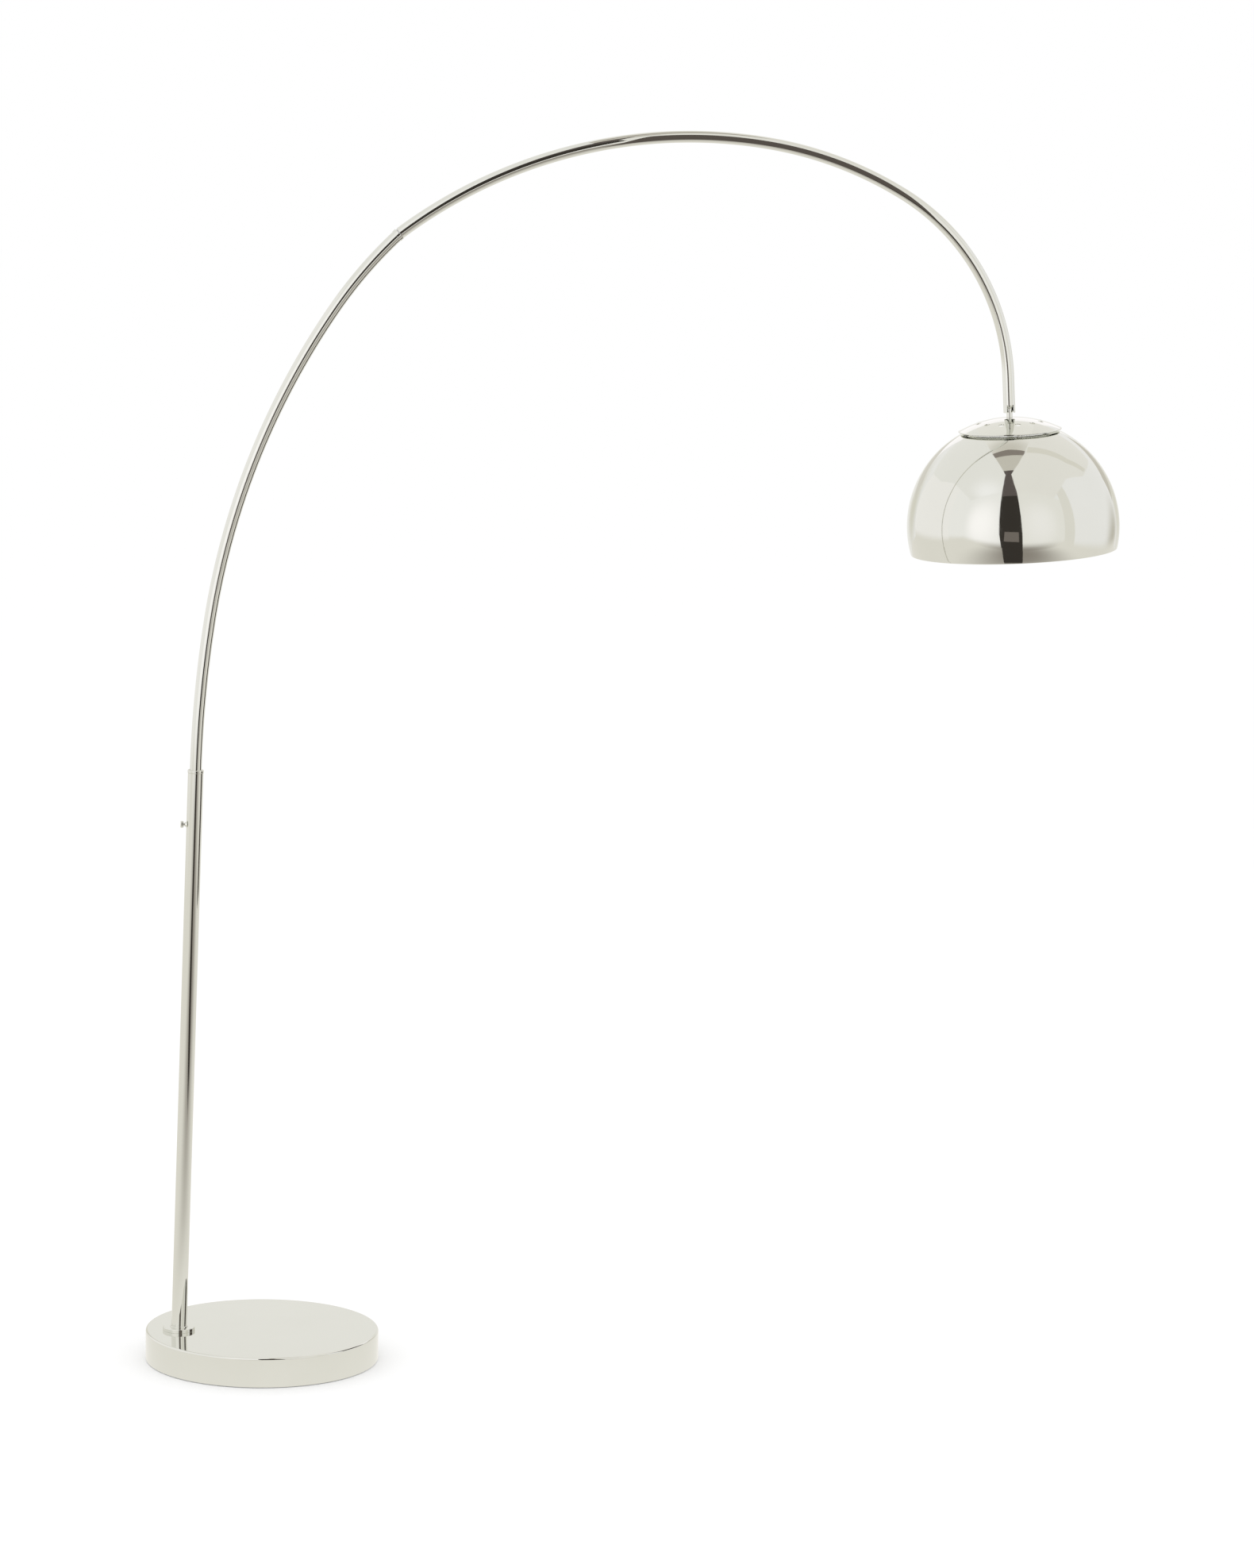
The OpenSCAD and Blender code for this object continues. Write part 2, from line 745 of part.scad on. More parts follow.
module pole_flex() {
  color("dimgray") on_pole(flex_split + seat_gap)
    cylinder(r = flex_r, h = pole_h - tail_len - tail_flange_h - flex_split - 2 * seat_gap, $fn = round_fn);
}

// ---------------------------------------------------------------- height clamp

module clamp_pad() {
  color("whitesmoke") on_clamp() translate([0, 0, pad_start])
    cylinder(r = clamp_shank_r, h = pad_end - pad_start, $fn = round_fn);
}

module clamp_screw() {
  color("silver") on_clamp() {
    translate([0, 0, screw_start])
      cylinder(r = clamp_shank_r, h = knob_start + through - screw_start, $fn = round_fn);
    translate([0, 0, knob_start]) rotate_extrude($fn = round_fn) {
      square([knob_r - knob_edge, knob_t]);
      translate([0, knob_edge]) square([knob_r, knob_t - 2 * knob_edge]);
      for (z = [knob_edge, knob_t - knob_edge])
        translate([knob_r - knob_edge, z]) circle(knob_edge, $fn = round_fn);
    }
  }
}

// ---------------------------------------------------------------- bow

module tail_bush() {
  color("whitesmoke") at_tail() translate([0, 0, clear_gap])
    ring(pole_bore - run_gap, bow_r + run_gap, tail_bush_len);
}

module tail_plug() {
  color("whitesmoke") at_tail() difference() {
    union() {
      translate([0, 0, -tail_flange_h]) cylinder(r = tail_flange_r, h = tail_flange_h, $fn = round_fn);
      cylinder(r = bow_bore - fit_gap, h = tail_plug_len, $fn = round_fn);
    }
    translate([0, 0, -tail_flange_h - through])
      cylinder(r = flex_hole, h = tail_flange_h + tail_plug_len + 2 * through, $fn = round_fn);
  }
}

// A spring clip that keeps the bush on the tail
module tail_clip() {
  color("gray") at_tail() translate([0, 0, tail_clip_z]) rotate([0, 0, tail_clip_opening / 2])
    rotate_extrude(angle = 360 - tail_clip_opening, $fn = round_fn)
      translate([bow_r + seat_gap, 0]) square([tail_flange_r - bow_r - seat_gap, tail_clip_t]);
}

module lower_tube() {
  color("silver") difference() {
    at_tail() run(lower_steps, bow_r, bow_bore);
    before_joint(grub_back) grub_hole();
  }
}

// The grub screw's hole, on the inside of the bend
module grub_hole() {
  rotate([0, 90, 0]) translate([0, 0, grub_start - through])
    cylinder(r = grub_r + fit_gap, h = bow_r - grub_start + 2 * through, $fn = round_fn);
}

module joint_ferrule() {
  color("silver") before_joint(ferrule_len)
    run([[lower_bend_3, bend_angle(ferrule_len, lower_bend_3)]],
        bow_r + ferrule_t + seat_gap, bow_r + seat_gap);
}

// A bent connector that joins the two tubes
module joint_spigot() {
  color("gray") difference() {
    before_joint(spigot_len)
      run([[lower_bend_3, bend_angle(spigot_len, lower_bend_3)], kink,
           [upper_bend_1, bend_angle(spigot_len, upper_bend_1)]], spigot_r, spigot_r - spigot_wall);
    before_joint(grub_back) grub_hole();
  }
}

module joint_screw() {
  color("dimgray") before_joint(grub_back) rotate([0, 90, 0]) difference() {
    translate([0, 0, grub_start])
      cylinder(r = grub_r, h = bow_r - grub_sunk - grub_start, $fn = round_fn);
    translate([0, 0, bow_r - grub_sunk - grub_key_depth])
      cylinder(r = grub_key_r, h = grub_key_depth + through, $fn = 6);
  }
}

// The flex from the tail to the ball, down the middle of both tubes
module arc_flex() {
  first = [tail_len + tail_flange_h];
  last = [tip_len - ball_depth - arc_flex_up];
  color("dimgray") at_tail() translate([0, 0, -tail_flange_h])
    run(concat([first], [for (i = [1 : len(lower_steps) - 1]) lower_steps[i]], [kink],
               [for (i = [0 : len(upper_steps) - 2]) upper_steps[i]], [last]), flex_r);
}

module upper_tube() {
  color("silver") difference() {
    at_upper() run(upper_steps, bow_r, bow_bore);
    at_ball() tip_slot();
  }
}

// The slot that lets the stem swing to one side
module tip_slot() {
  translate([-tip_slot_w / 2, -2 * bow_r, 0]) cube([tip_slot_w, 2 * bow_r, 2 * ball_depth]);
}

// ---------------------------------------------------------------- ball joint

module ball_seat() {
  color("whitesmoke") at_ball() difference() {
    translate([0, 0, -seat_h]) cylinder(r = cup_outer_r, h = seat_h - cup_edge, $fn = round_fn);
    sphere(cup_r, $fn = round_fn);
    translate([0, 0, -seat_h - through]) cylinder(r = flex_hole, h = seat_h, $fn = round_fn);
  }
}

module ball_ring() {
  color("gray") at_ball() difference() {
    translate([0, 0, cup_edge]) cylinder(r = cup_outer_r, h = ball_ring_end - cup_edge, $fn = round_fn);
    sphere(cup_r, $fn = round_fn);
    cylinder(r = ball_mouth, h = 2 * ball_depth, $fn = round_fn);
    tip_slot();
  }
}

module swivel_ball() {
  color("silver") at_ball() difference() {
    sphere(ball_r, $fn = round_fn);
    cylinder(r = stem_r + fit_gap, h = 3 * ball_r, center = true, $fn = round_fn);
    translate([0, 0, -2 * ball_r])
      cylinder(r = stem_head_r + fit_gap, h = 2 * ball_r - stem_head[0] + fit_gap, $fn = round_fn);
  }
}

// ---------------------------------------------------------------- shade

module shade_stem() {
  color("silver") at_shade() difference() {
    union() {
      translate([0, 0, stem_start])
        cylinder(r = stem_r, h = shade_drop + stem_head[1] - stem_start, $fn = round_fn);
      translate([0, 0, shade_drop + stem_head[0]])
        cylinder(r = stem_head_r, h = stem_head[1] - stem_head[0], $fn = round_fn);
    }
    cylinder(r = stem_bore, h = 2 * shade_drop, $fn = round_fn);
  }
}

module cap_washer() {
  color("gray") at_shade() translate([0, 0, cap_washer_z - stem_washer_t])
    ring(stem_washer_r, stem_r + hole_gap, stem_washer_t);
}

module cap_nut() {
  color("gray") at_shade() translate([0, 0, cap_washer_z - stem_washer_t - stem_nut_h])
    hex_nut(stem_nut_r, stem_r + fit_gap, stem_nut_h);
}

// A shallow vented cap, concentric with the dome, with a rolled edge
module shade_cap() {
  color("silver") at_shade() difference() {
    rotate_extrude($fn = disc_fn) {
      intersection() {
        difference() {
          circle(cap_out_r, $fn = bend_fn);
          circle(cap_in_r, $fn = bend_fn);
        }
        square([cap_r, 2 * dome_r]);
      }
      translate([cap_r, height_at(cap_in_r + dome_wall / 2, cap_r)]) circle(hem_r, $fn = round_fn);
    }
    cylinder(r = stem_r + hole_gap, h = 2 * dome_r, $fn = round_fn);
    around(vent_count, vent_ring, vent_first) cylinder(r = vent_r, h = 2 * dome_r, $fn = round_fn);
  }
}

module cap_studs() {
  color("gray") at_shade() intersection() {
    around(cap_stud_count, stud_ring, cap_stud_first) translate([0, 0, dome_top - cap_stud_len])
      cylinder(r = cap_stud_r, h = 2 * cap_r, $fn = round_fn);
    sphere(cap_in_r - seat_gap, $fn = bend_fn);
  }
}

module stud_spacers() {
  color("whitesmoke") at_shade() around(cap_stud_count, stud_ring, cap_stud_first)
    translate([0, 0, dome_top]) ring(spacer_r, cap_stud_r + hole_gap, height_at(cap_in_r, stud_ring + spacer_r) - seat_gap - dome_top);
}

module stud_nuts() {
  color("gray") at_shade() around(cap_stud_count, stud_ring, cap_stud_first)
    translate([0, 0, dome_top - dome_wall - cap_stud_nut_h])
      hex_nut(cap_stud_nut_r, cap_stud_r + fit_gap, cap_stud_nut_h);
}

// The dome: most of a sphere, with a hemmed rim and a flat collar round its top opening
module shade_dome() {
  color("silver") at_shade() difference() {
    rotate_extrude($fn = disc_fn) {
      intersection() {
        difference() {
          circle(dome_r, $fn = bend_fn);
          circle(dome_in_r, $fn = bend_fn);
        }
        translate([0, -rim_drop]) square([2 * dome_r, rim_drop + dome_top]);
      }
      translate([dome_opening, dome_top - dome_wall])
        square([height_at(dome_in_r + dome_wall / 2, dome_top) - dome_opening, dome_wall]);
      translate([height_at(dome_r - hem_r, rim_drop), -rim_drop]) circle(hem_r, $fn = round_fn);
    }
    around(cap_stud_count, stud_ring, cap_stud_first) translate([0, 0, dome_top - cap_stud_len])
      cylinder(r = cap_stud_r + clear_gap, h = 2 * cap_stud_len, $fn = round_fn);
  }
}

// ---------------------------------------------------------------- lamp holder and bulb

module holder_nut() {
  color("gray") at_shade() translate([0, 0, holder_top]) hex_nut(stem_nut_r, stem_r + fit_gap, stem_nut_h);
}

// Half outline of the holder's cap, shrunk on all sides by a wall
module holder_cap_2d(wall) {
  below = wall > 0 ? through : 0;
  translate([0, holder_split - below])
    square([holder_r - wall, holder_shoulder_z - holder_split + below]);
  intersection() {
    translate([holder_collar_r, holder_shoulder_z]) circle(holder_shoulder - wall, $fn = round_fn);
    translate([0, holder_shoulder_z]) square(holder_r);
  }
  translate([0, holder_shoulder_z]) square([holder_collar_r, holder_shoulder - wall]);
}

module holder_cap() {
  color("black") at_shade() difference() {
    union() {
      rotate_extrude($fn = round_fn) difference() {
        holder_cap_2d(0);
        holder_cap_2d(holder_wall);
      }
      translate([0, 0, holder_top - holder_collar_h - through])
        cylinder(r = holder_collar_r, h = holder_collar_h + through, $fn = round_fn);
    }
    cylinder(r = stem_r + fit_gap, h = 2 * holder_top, $fn = round_fn);
  }
}

// The core has a notch on each side for a terminal
module holder_core() {
  color("white") at_shade() difference() {
    translate([0, 0, core_z]) cylinder(r = core_r, h = core_h, $fn = round_fn);
    for (side = [-1, 1])
      translate([side * core_r - terminal[0] / 2, -terminal[1] / 2, core_z + terminal_z])
        cube([terminal[0], terminal[1], core_h]);
  }
}

module holder_contact() {
  color("goldenrod") at_shade() translate([0, 0, bulb_top + seat_gap])
    cylinder(r = contact_r, h = contact_h - seat_gap, $fn = round_fn);
}

module holder_shell() {
  color("goldenrod") at_shade() {
    translate([0, 0, core_z - shell_len]) ring(shell_r, shell_r - shell_wall, shell_len);
    translate([0, 0, core_z - shell_flange_t])
      ring(shell_r + shell_flange_w, shell_r - shell_wall, shell_flange_t);
  }
}

// The skirt has a lip inside its mouth
module holder_skirt() {
  color("black") at_shade() {
    translate([0, 0, holder_end]) ring(holder_r, holder_r - holder_wall, holder_skirt_len);
    translate([0, 0, holder_end]) ring(holder_r, skirt_lip_r, skirt_lip_h);
  }
}

module stem_flex() {
  color("dimgray") at_shade() translate([0, 0, core_z + core_h])
    cylinder(r = flex_r, h = shade_drop + stem_flex_up - core_z - core_h, $fn = round_fn);
}

// Screw cap of the bulb, with its thread as round ridges
module bulb_base() {
  core = bulb_cap_r - bulb_ridge;
  color("silver") at_shade() {
    rotate_extrude($fn = round_fn) {
      translate([0, bulb_neck_z]) square([core, bulb_cap_h]);
      for (z = [bulb_pitch : bulb_pitch : bulb_cap_h - bulb_ridge])
        translate([core, bulb_neck_z + z]) circle(bulb_ridge, $fn = round_fn);
    }
    translate([0, 0, bulb_neck_z + bulb_cap_h - through])
      cylinder(r = bulb_tip_r, h = bulb_tip_h + through, $fn = round_fn);
  }
}

// Half outline of the bulb's glass, shrunk on all sides by a wall
module bulb_2d(wall) {
  radius = bulb_r - wall;
  neck_r = bulb_neck_r - wall;
  top = bulb_neck_z + (wall > 0 ? through : 0);
  intersection() {
    translate([0, bulb_centre_z]) circle(radius, $fn = disc_fn);
    translate([0, bulb_centre_z - bulb_r]) square([bulb_r, 2 * bulb_r]);
  }
  polygon([[0, bulb_centre_z],
           [radius * sin(bulb_cone), bulb_centre_z + radius * cos(bulb_cone)],
           [neck_r, bulb_neck_z - bulb_neck_h], [neck_r, top], [0, top]]);
}

module bulb_glass() {
  color("white", 0.6) at_shade() rotate_extrude($fn = disc_fn) difference() {
    bulb_2d(0);
    bulb_2d(bulb_wall);
  }
}

base_cover();
base_weight();
weight_inserts();
base_plate();
base_screws();
base_pad();
cord_grommet();
cord_clip();
clip_screws();
base_flex();
pole_flange();
foot_ring();
pole_stud();
stud_washer();
stud_nut();
pole_plug();
pole_tube();
pole_collar();
guide_bush();
clamp_boss();
pole_flex();
clamp_pad();
clamp_screw();
tail_bush();
tail_plug();
tail_clip();
lower_tube();
joint_ferrule();
joint_spigot();
joint_screw();
upper_tube();
ball_seat();
ball_ring();
arc_flex();
swivel_ball();
shade_stem();
cap_washer();
cap_nut();
shade_cap();
cap_studs();
stud_spacers();
stud_nuts();
shade_dome();
holder_nut();
holder_cap();
holder_core();
holder_contact();
holder_shell();
holder_skirt();
stem_flex();
bulb_base();
bulb_glass();
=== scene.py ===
# %% [markdown]
# # An arc floor lamp around a fixed frame
# The lamp's engineering model is loaded first and stays as it is. Its solids carry the true
# sizes, so every polished skin made here takes its place from them. A mirror finish shows each
# flat facet, so the visible metal parts are turned and bent again with many more steps than an
# engineering mesh has, and the hidden parts keep their solids and get a better material.

# %% Load the frame
import json
from math import acos, asin, atan2, cos, degrees, pi, radians, sin, sqrt, tan

import bmesh
import bpy
from mathutils import Matrix, Vector


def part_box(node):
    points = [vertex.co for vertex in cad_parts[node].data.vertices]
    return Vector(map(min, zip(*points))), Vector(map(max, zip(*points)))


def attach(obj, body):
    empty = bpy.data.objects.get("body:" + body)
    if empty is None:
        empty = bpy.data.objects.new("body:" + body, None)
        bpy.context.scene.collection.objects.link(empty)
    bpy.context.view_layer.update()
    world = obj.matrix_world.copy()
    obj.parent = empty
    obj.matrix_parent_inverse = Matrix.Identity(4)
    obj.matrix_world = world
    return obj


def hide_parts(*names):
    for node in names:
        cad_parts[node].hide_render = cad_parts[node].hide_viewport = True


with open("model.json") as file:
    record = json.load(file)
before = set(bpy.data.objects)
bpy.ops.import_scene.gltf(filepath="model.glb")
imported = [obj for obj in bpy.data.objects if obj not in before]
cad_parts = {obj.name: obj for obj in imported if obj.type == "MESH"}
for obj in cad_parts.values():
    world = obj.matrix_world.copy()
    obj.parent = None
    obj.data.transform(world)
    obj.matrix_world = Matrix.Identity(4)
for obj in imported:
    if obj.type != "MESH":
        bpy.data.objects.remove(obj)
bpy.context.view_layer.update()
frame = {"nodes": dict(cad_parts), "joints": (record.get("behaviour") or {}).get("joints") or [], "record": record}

scene = bpy.context.scene
joints = {joint["name"]: joint for joint in frame["joints"]}

# %% [markdown]
# ## Camera
# A long lens from over eight metres keeps the tall lamp free of distortion. The camera stands
# a little above the lamp's top and looks down at it, so the base's top shows as a flat ellipse.
# The camera could be aimed with a constraint, but a matrix made from its own right, up and
# forward directions also holds the slight roll of a hand-set tripod.

# %% Place the camera
YAW, PITCH, ROLL = radians(8.05), radians(8.99), radians(1.04)
DISTANCE, EYE_HEIGHT, EYE_SHIFT = 8.487, 2.3042, 0.5808
LENS = 122.57

ahead = Vector((sin(YAW), cos(YAW), 0))
aside = Vector((cos(YAW), -sin(YAW), 0))
above = Vector((0, 0, 1))
forward = ahead * cos(PITCH) - above * sin(PITCH)
upward = above * cos(PITCH) + ahead * sin(PITCH)
right = aside * cos(ROLL) + upward * sin(ROLL)
top = upward * cos(ROLL) - aside * sin(ROLL)
eye = aside * EYE_SHIFT - ahead * DISTANCE + above * EYE_HEIGHT

camera_data = bpy.data.cameras.new("camera")
camera_data.lens = LENS
camera_data.clip_end = 100
camera = bpy.data.objects.new("camera", camera_data)
scene.collection.objects.link(camera)
camera.matrix_world = Matrix.Translation(eye) @ Matrix((right, top, -forward)).transposed().to_4x4()
scene.camera = camera
print("camera at", [round(v, 3) for v in eye])

# %% [markdown]
# ## Node helpers
# Every finish below is a small graph of nodes. Two helpers keep the graphs short: one adds a
# node and sets its sockets by name, and the other makes a node group with named sockets.

# %% Helpers for node graphs
def add_node(tree, kind, links=(), **values):
    """Adds a node, sets its sockets or properties, and links (socket, output) pairs to it."""
    node = tree.nodes.new(kind)
    for name, value in values.items():
        socket = node.inputs.get(name.replace("_", " "))
        if socket is not None and not hasattr(node, name):
            socket.default_value = value
        else:
            setattr(node, name, value)
    for name, output in links:
        tree.links.new(node.inputs[name], output)
    return node


def new_group(name, inputs, outputs):
    """Makes a node group and returns it with its input and output nodes."""
    group = bpy.data.node_groups.new(name, "ShaderNodeTree")
    for label, kind, value in inputs:
        socket = group.interface.new_socket(label, in_out="INPUT", socket_type=kind)
        if value is not None:
            socket.default_value = value
    for label, kind in outputs:
        group.interface.new_socket(label, in_out="OUTPUT", socket_type=kind)
    return group, group.nodes.new("NodeGroupInput"), group.nodes.new("NodeGroupOutput")


FLOAT, VECTOR = "NodeSocketFloat", "NodeSocketVector"

# %% [markdown]
# ## Polish marks
# A plated tube is never perfectly even. Hand wiping leaves broad soft patches, and the
# polishing mop leaves fine lines. Both change the roughness a little, and the lines also make
# a bump that is far too shallow to feel. One group serves the steel and the aluminium.

# %% Group for polish marks
polish_marks, g_in, g_out = new_group(
    "polish marks",
    [("Vector", VECTOR, None), ("Smooth", FLOAT, 0.03), ("Dull", FLOAT, 0.08), ("Line scale", FLOAT, 400.0)],
    [("Roughness", FLOAT), ("Height", FLOAT), ("Patches", FLOAT)])
patches = add_node(polish_marks, "ShaderNodeTexNoise", [("Vector", g_in.outputs["Vector"])],
                   Scale=9.0, Detail=4.0, Roughness=0.6)
squeezed = add_node(polish_marks, "ShaderNodeVectorMath", [(0, g_in.outputs["Vector"])], operation="MULTIPLY")
squeezed.inputs[1].default_value = (1, 1, 0.05)
fine = add_node(polish_marks, "ShaderNodeTexNoise",
                [("Vector", squeezed.outputs[0]), ("Scale", g_in.outputs["Line scale"])], Detail=2.0)
both = add_node(polish_marks, "ShaderNodeMath", [(0, patches.outputs["Fac"]), (1, fine.outputs["Fac"])],
                operation="MULTIPLY")
spread = add_node(polish_marks, "ShaderNodeMapRange",
                  [("Value", both.outputs[0]), ("To Min", g_in.outputs["Smooth"]),
                   ("To Max", g_in.outputs["Dull"])])
spread.inputs["From Min"].default_value = 0.15
spread.inputs["From Max"].default_value = 0.4
polish_marks.links.new(g_out.inputs["Roughness"], spread.outputs["Result"])
polish_marks.links.new(g_out.inputs["Height"], fine.outputs["Fac"])
polish_marks.links.new(g_out.inputs["Patches"], patches.outputs["Fac"])
print("group", polish_marks.name, "with", len(polish_marks.nodes), "nodes")

# %% [markdown]
# ## Grain
# Cast weight, foam, moulded plastic and rubber all have a grain. It is one noise at a chosen
# scale with a sharper or softer contrast, so a second group serves them all.

# %% Group for grain
grain, g_in, g_out = new_group(
    "grain",
    [("Vector", VECTOR, None), ("Scale", FLOAT, 200.0), ("Low", FLOAT, 0.35), ("High", FLOAT, 0.65)],
    [("Mask", FLOAT), ("Cells", FLOAT)])
noise = add_node(grain, "ShaderNodeTexNoise",
                 [("Vector", g_in.outputs["Vector"]), ("Scale", g_in.outputs["Scale"])],
                 Detail=5.0, Roughness=0.6)
sharper = add_node(grain, "ShaderNodeMapRange",
                   [("Value", noise.outputs["Fac"]), ("From Min", g_in.outputs["Low"]),
                    ("From Max", g_in.outputs["High"])])
cells = add_node(grain, "ShaderNodeTexVoronoi",
                 [("Vector", g_in.outputs["Vector"]), ("Scale", g_in.outputs["Scale"])])
grain.links.new(g_out.inputs["Mask"], sharper.outputs["Result"])
grain.links.new(g_out.inputs["Cells"], cells.outputs["Distance"])
print("group", grain.name, "with", len(grain.nodes), "nodes")

# %% [markdown]
# ## Finishes
# Each finish starts from the same frame: Object coordinates, one of the two groups, a colour
# ramp between two near shades, and a bump. What differs is set on the shader itself.

# %% Helpers for finishes
LINE_DEPTH = 0.00001
ROUGH_SPREAD = 0.15


def start_finish(name):
    material = bpy.data.materials.new(name)
    material.use_nodes = True
    tree = material.node_tree
    tree.nodes.clear()
    output = tree.nodes.new("ShaderNodeOutputMaterial")
    shader = tree.nodes.new("ShaderNodeBsdfPrincipled")
    tree.links.new(output.inputs["Surface"], shader.outputs["BSDF"])
    place = tree.nodes.new("ShaderNodeTexCoord").outputs["Object"]
    return material, tree, shader, place


def two_shades(tree, mask, dark, light):
    """A colour between two near shades."""
    ramp = add_node(tree, "ShaderNodeMix", [("Factor", mask)], data_type="RGBA")
    ramp.inputs[6].default_value = (*dark, 1)
    ramp.inputs[7].default_value = (*light, 1)
    return ramp.outputs[2]


def add_bump(tree, shader, height, strength, depth):
    bump = add_node(tree, "ShaderNodeBump", [("Height", height)])
    bump.inputs["Strength"].default_value = strength
    bump.inputs["Distance"].default_value = depth
    tree.links.new(shader.inputs["Normal"], bump.outputs["Normal"])


def polished(name, dark, light, smooth, dull, lines=400.0, bump=0.05):
    """Bright plated metal with faint patches and polishing lines."""
    material, tree, shader, place = start_finish(name)
    marks = add_node(tree, "ShaderNodeGroup", node_tree=polish_marks)
    tree.links.new(marks.inputs["Vector"], place)
    marks.inputs["Smooth"].default_value = smooth
    marks.inputs["Dull"].default_value = dull
    marks.inputs["Line scale"].default_value = lines
    tree.links.new(shader.inputs["Base Color"], two_shades(tree, marks.outputs["Patches"], dark, light))
    tree.links.new(shader.inputs["Roughness"], marks.outputs["Roughness"])
    shader.inputs["Metallic"].default_value = 1
    add_bump(tree, shader, marks.outputs["Height"], bump, LINE_DEPTH)
    return material


def grained(name, dark, light, scale, roughness, bump, depth, metallic=0.0, use_cells=False):
    """Cast, moulded or foamed stuff with a grain at one scale."""
    material, tree, shader, place = start_finish(name)
    speck = add_node(tree, "ShaderNodeGroup", node_tree=grain)
    tree.links.new(speck.inputs["Vector"], place)
    speck.inputs["Scale"].default_value = scale
    tree.links.new(shader.inputs["Base Color"], two_shades(tree, speck.outputs["Mask"], dark, light))
    rough = add_node(tree, "ShaderNodeMapRange", [("Value", speck.outputs["Mask"])])
    rough.inputs["To Min"].default_value = roughness * (1 - ROUGH_SPREAD)
    rough.inputs["To Max"].default_value = min(1.0, roughness * (1 + ROUGH_SPREAD))
    tree.links.new(shader.inputs["Roughness"], rough.outputs["Result"])
    shader.inputs["Metallic"].default_value = metallic
    add_bump(tree, shader, speck.outputs["Cells" if use_cells else "Mask"], bump, depth)
    return material


# %% [markdown]
# ## The metals
# The lamp is plated a warm white: bright nickel under a thin chrome flash, which reflects a
# little less blue than red and green. The same shade serves the steel tubes and the spun
# aluminium, and the spun parts are a touch softer. Screws and nuts are plain zinc.

# %% Make the metals
NICKEL_DARK, NICKEL_LIGHT = (0.715, 0.72, 0.665), (0.76, 0.765, 0.715)
plated_steel = polished("plated_steel", NICKEL_DARK, NICKEL_LIGHT, 0.025, 0.06)
spun_plate = polished("spun_plate", NICKEL_DARK, NICKEL_LIGHT, 0.03, 0.075, lines=250.0)
zinc = grained("zinc", (0.50, 0.50, 0.51), (0.62, 0.62, 0.60), 900.0, 0.35, 0.1, 0.00002, metallic=1.0)
brass = grained("brass", (0.62, 0.47, 0.20), (0.80, 0.63, 0.31), 700.0, 0.3, 0.08, 0.00002, metallic=1.0)
black_steel = grained("black_steel", (0.018, 0.018, 0.018), (0.035, 0.035, 0.035), 500.0, 0.45, 0.3, 0.0001)
print("metals ready")

# %% [markdown]
# ## Everything that isn't metal
# The cast weight is grey concrete, the pad is closed-cell foam, and the guides are natural
# nylon. The lamp holder is black thermoset with a glazed ceramic core. Inside, the shade is
# stove-enamelled white so that it throws the light down.

# %% Make the other finishes
concrete = grained("concrete", (0.33, 0.32, 0.30), (0.50, 0.49, 0.46), 260.0, 0.9, 0.6, 0.0006)
foam = grained("foam", (0.012, 0.012, 0.012), (0.03, 0.03, 0.03), 900.0, 0.95, 0.6, 0.0003, use_cells=True)
rubber = grained("rubber", (0.012, 0.012, 0.012), (0.025, 0.025, 0.025), 1200.0, 0.65, 0.2, 0.00005)
nylon = grained("nylon", (0.72, 0.71, 0.66), (0.83, 0.82, 0.78), 500.0, 0.4, 0.1, 0.00004)
nylon_shader = nylon.node_tree.nodes["Principled BSDF"]
nylon_shader.inputs["Subsurface Weight"].default_value = 0.15
nylon_shader.inputs["Subsurface Radius"].default_value = (0.002, 0.002, 0.0015)
flex_sheath = grained("flex_sheath", (0.02, 0.02, 0.02), (0.035, 0.035, 0.035), 600.0, 0.5, 0.15, 0.00005)
thermoset = grained("thermoset", (0.015, 0.014, 0.013), (0.03, 0.028, 0.026), 300.0, 0.3, 0.05, 0.00005)
ceramic = grained("ceramic", (0.78, 0.76, 0.70), (0.86, 0.84, 0.79), 350.0, 0.25, 0.1, 0.00005)
enamel = grained("enamel", (0.80, 0.80, 0.78), (0.86, 0.86, 0.84), 220.0, 0.35, 0.12, 0.00004)
frosted = grained("frosted_glass", (0.88, 0.88, 0.86), (0.95, 0.95, 0.93), 1500.0, 0.45, 0.1, 0.00002)
frosted_shader = frosted.node_tree.nodes["Principled BSDF"]
frosted_shader.inputs["Transmission Weight"].default_value = 0.35
frosted_shader.inputs["IOR"].default_value = 1.45
print("other finishes ready")

# %% [markdown]
# ## Hidden parts keep their solids
# Everything under the cover, in the tubes or behind the shade is right as the solid that it
# is, so only the material changes. The record names a material slot for each part, and each
# slot has its finish here.

# %% Dress the solids
FINISH_OF_SLOT = {
    "chrome_steel": plated_steel, "chrome_aluminium": spun_plate, "concrete": concrete,
    "black_steel": black_steel, "zinc_steel": zinc, "brass": brass, "foam": foam,
    "black_rubber": rubber, "nylon": nylon, "flex_sheath": flex_sheath, "black_plastic": thermoset,
    "white_ceramic": ceramic, "bulb_metal": zinc, "bulb_glass": frosted}
slot_of_node = {part["node"]: part["material_slot"] for part in frame["record"]["subparts"]}
for name, solid in frame["nodes"].items():
    solid.data.materials.clear()
    solid.data.materials.append(FINISH_OF_SLOT[slot_of_node[name]])
print(len(frame["nodes"]), "solids dressed")

# %% [markdown]
# ## Places
# The joints of the frame give the exact places: the swivel gives the pole's top and its lean,
# and the ball joint gives the shade's. Each place is a matrix whose Z runs along the part.

# %% Places along the lamp
MM = Matrix.Scale(0.001, 4)


def place_of(origin, along):
    """A place at origin whose Z is along and whose Y is the world's."""
    z = Vector(along).normalized()
    y = Vector((0, 1, 0))
    return Matrix.Translation(origin) @ Matrix((y.cross(z), y, z)).transposed().to_4x4() @ MM


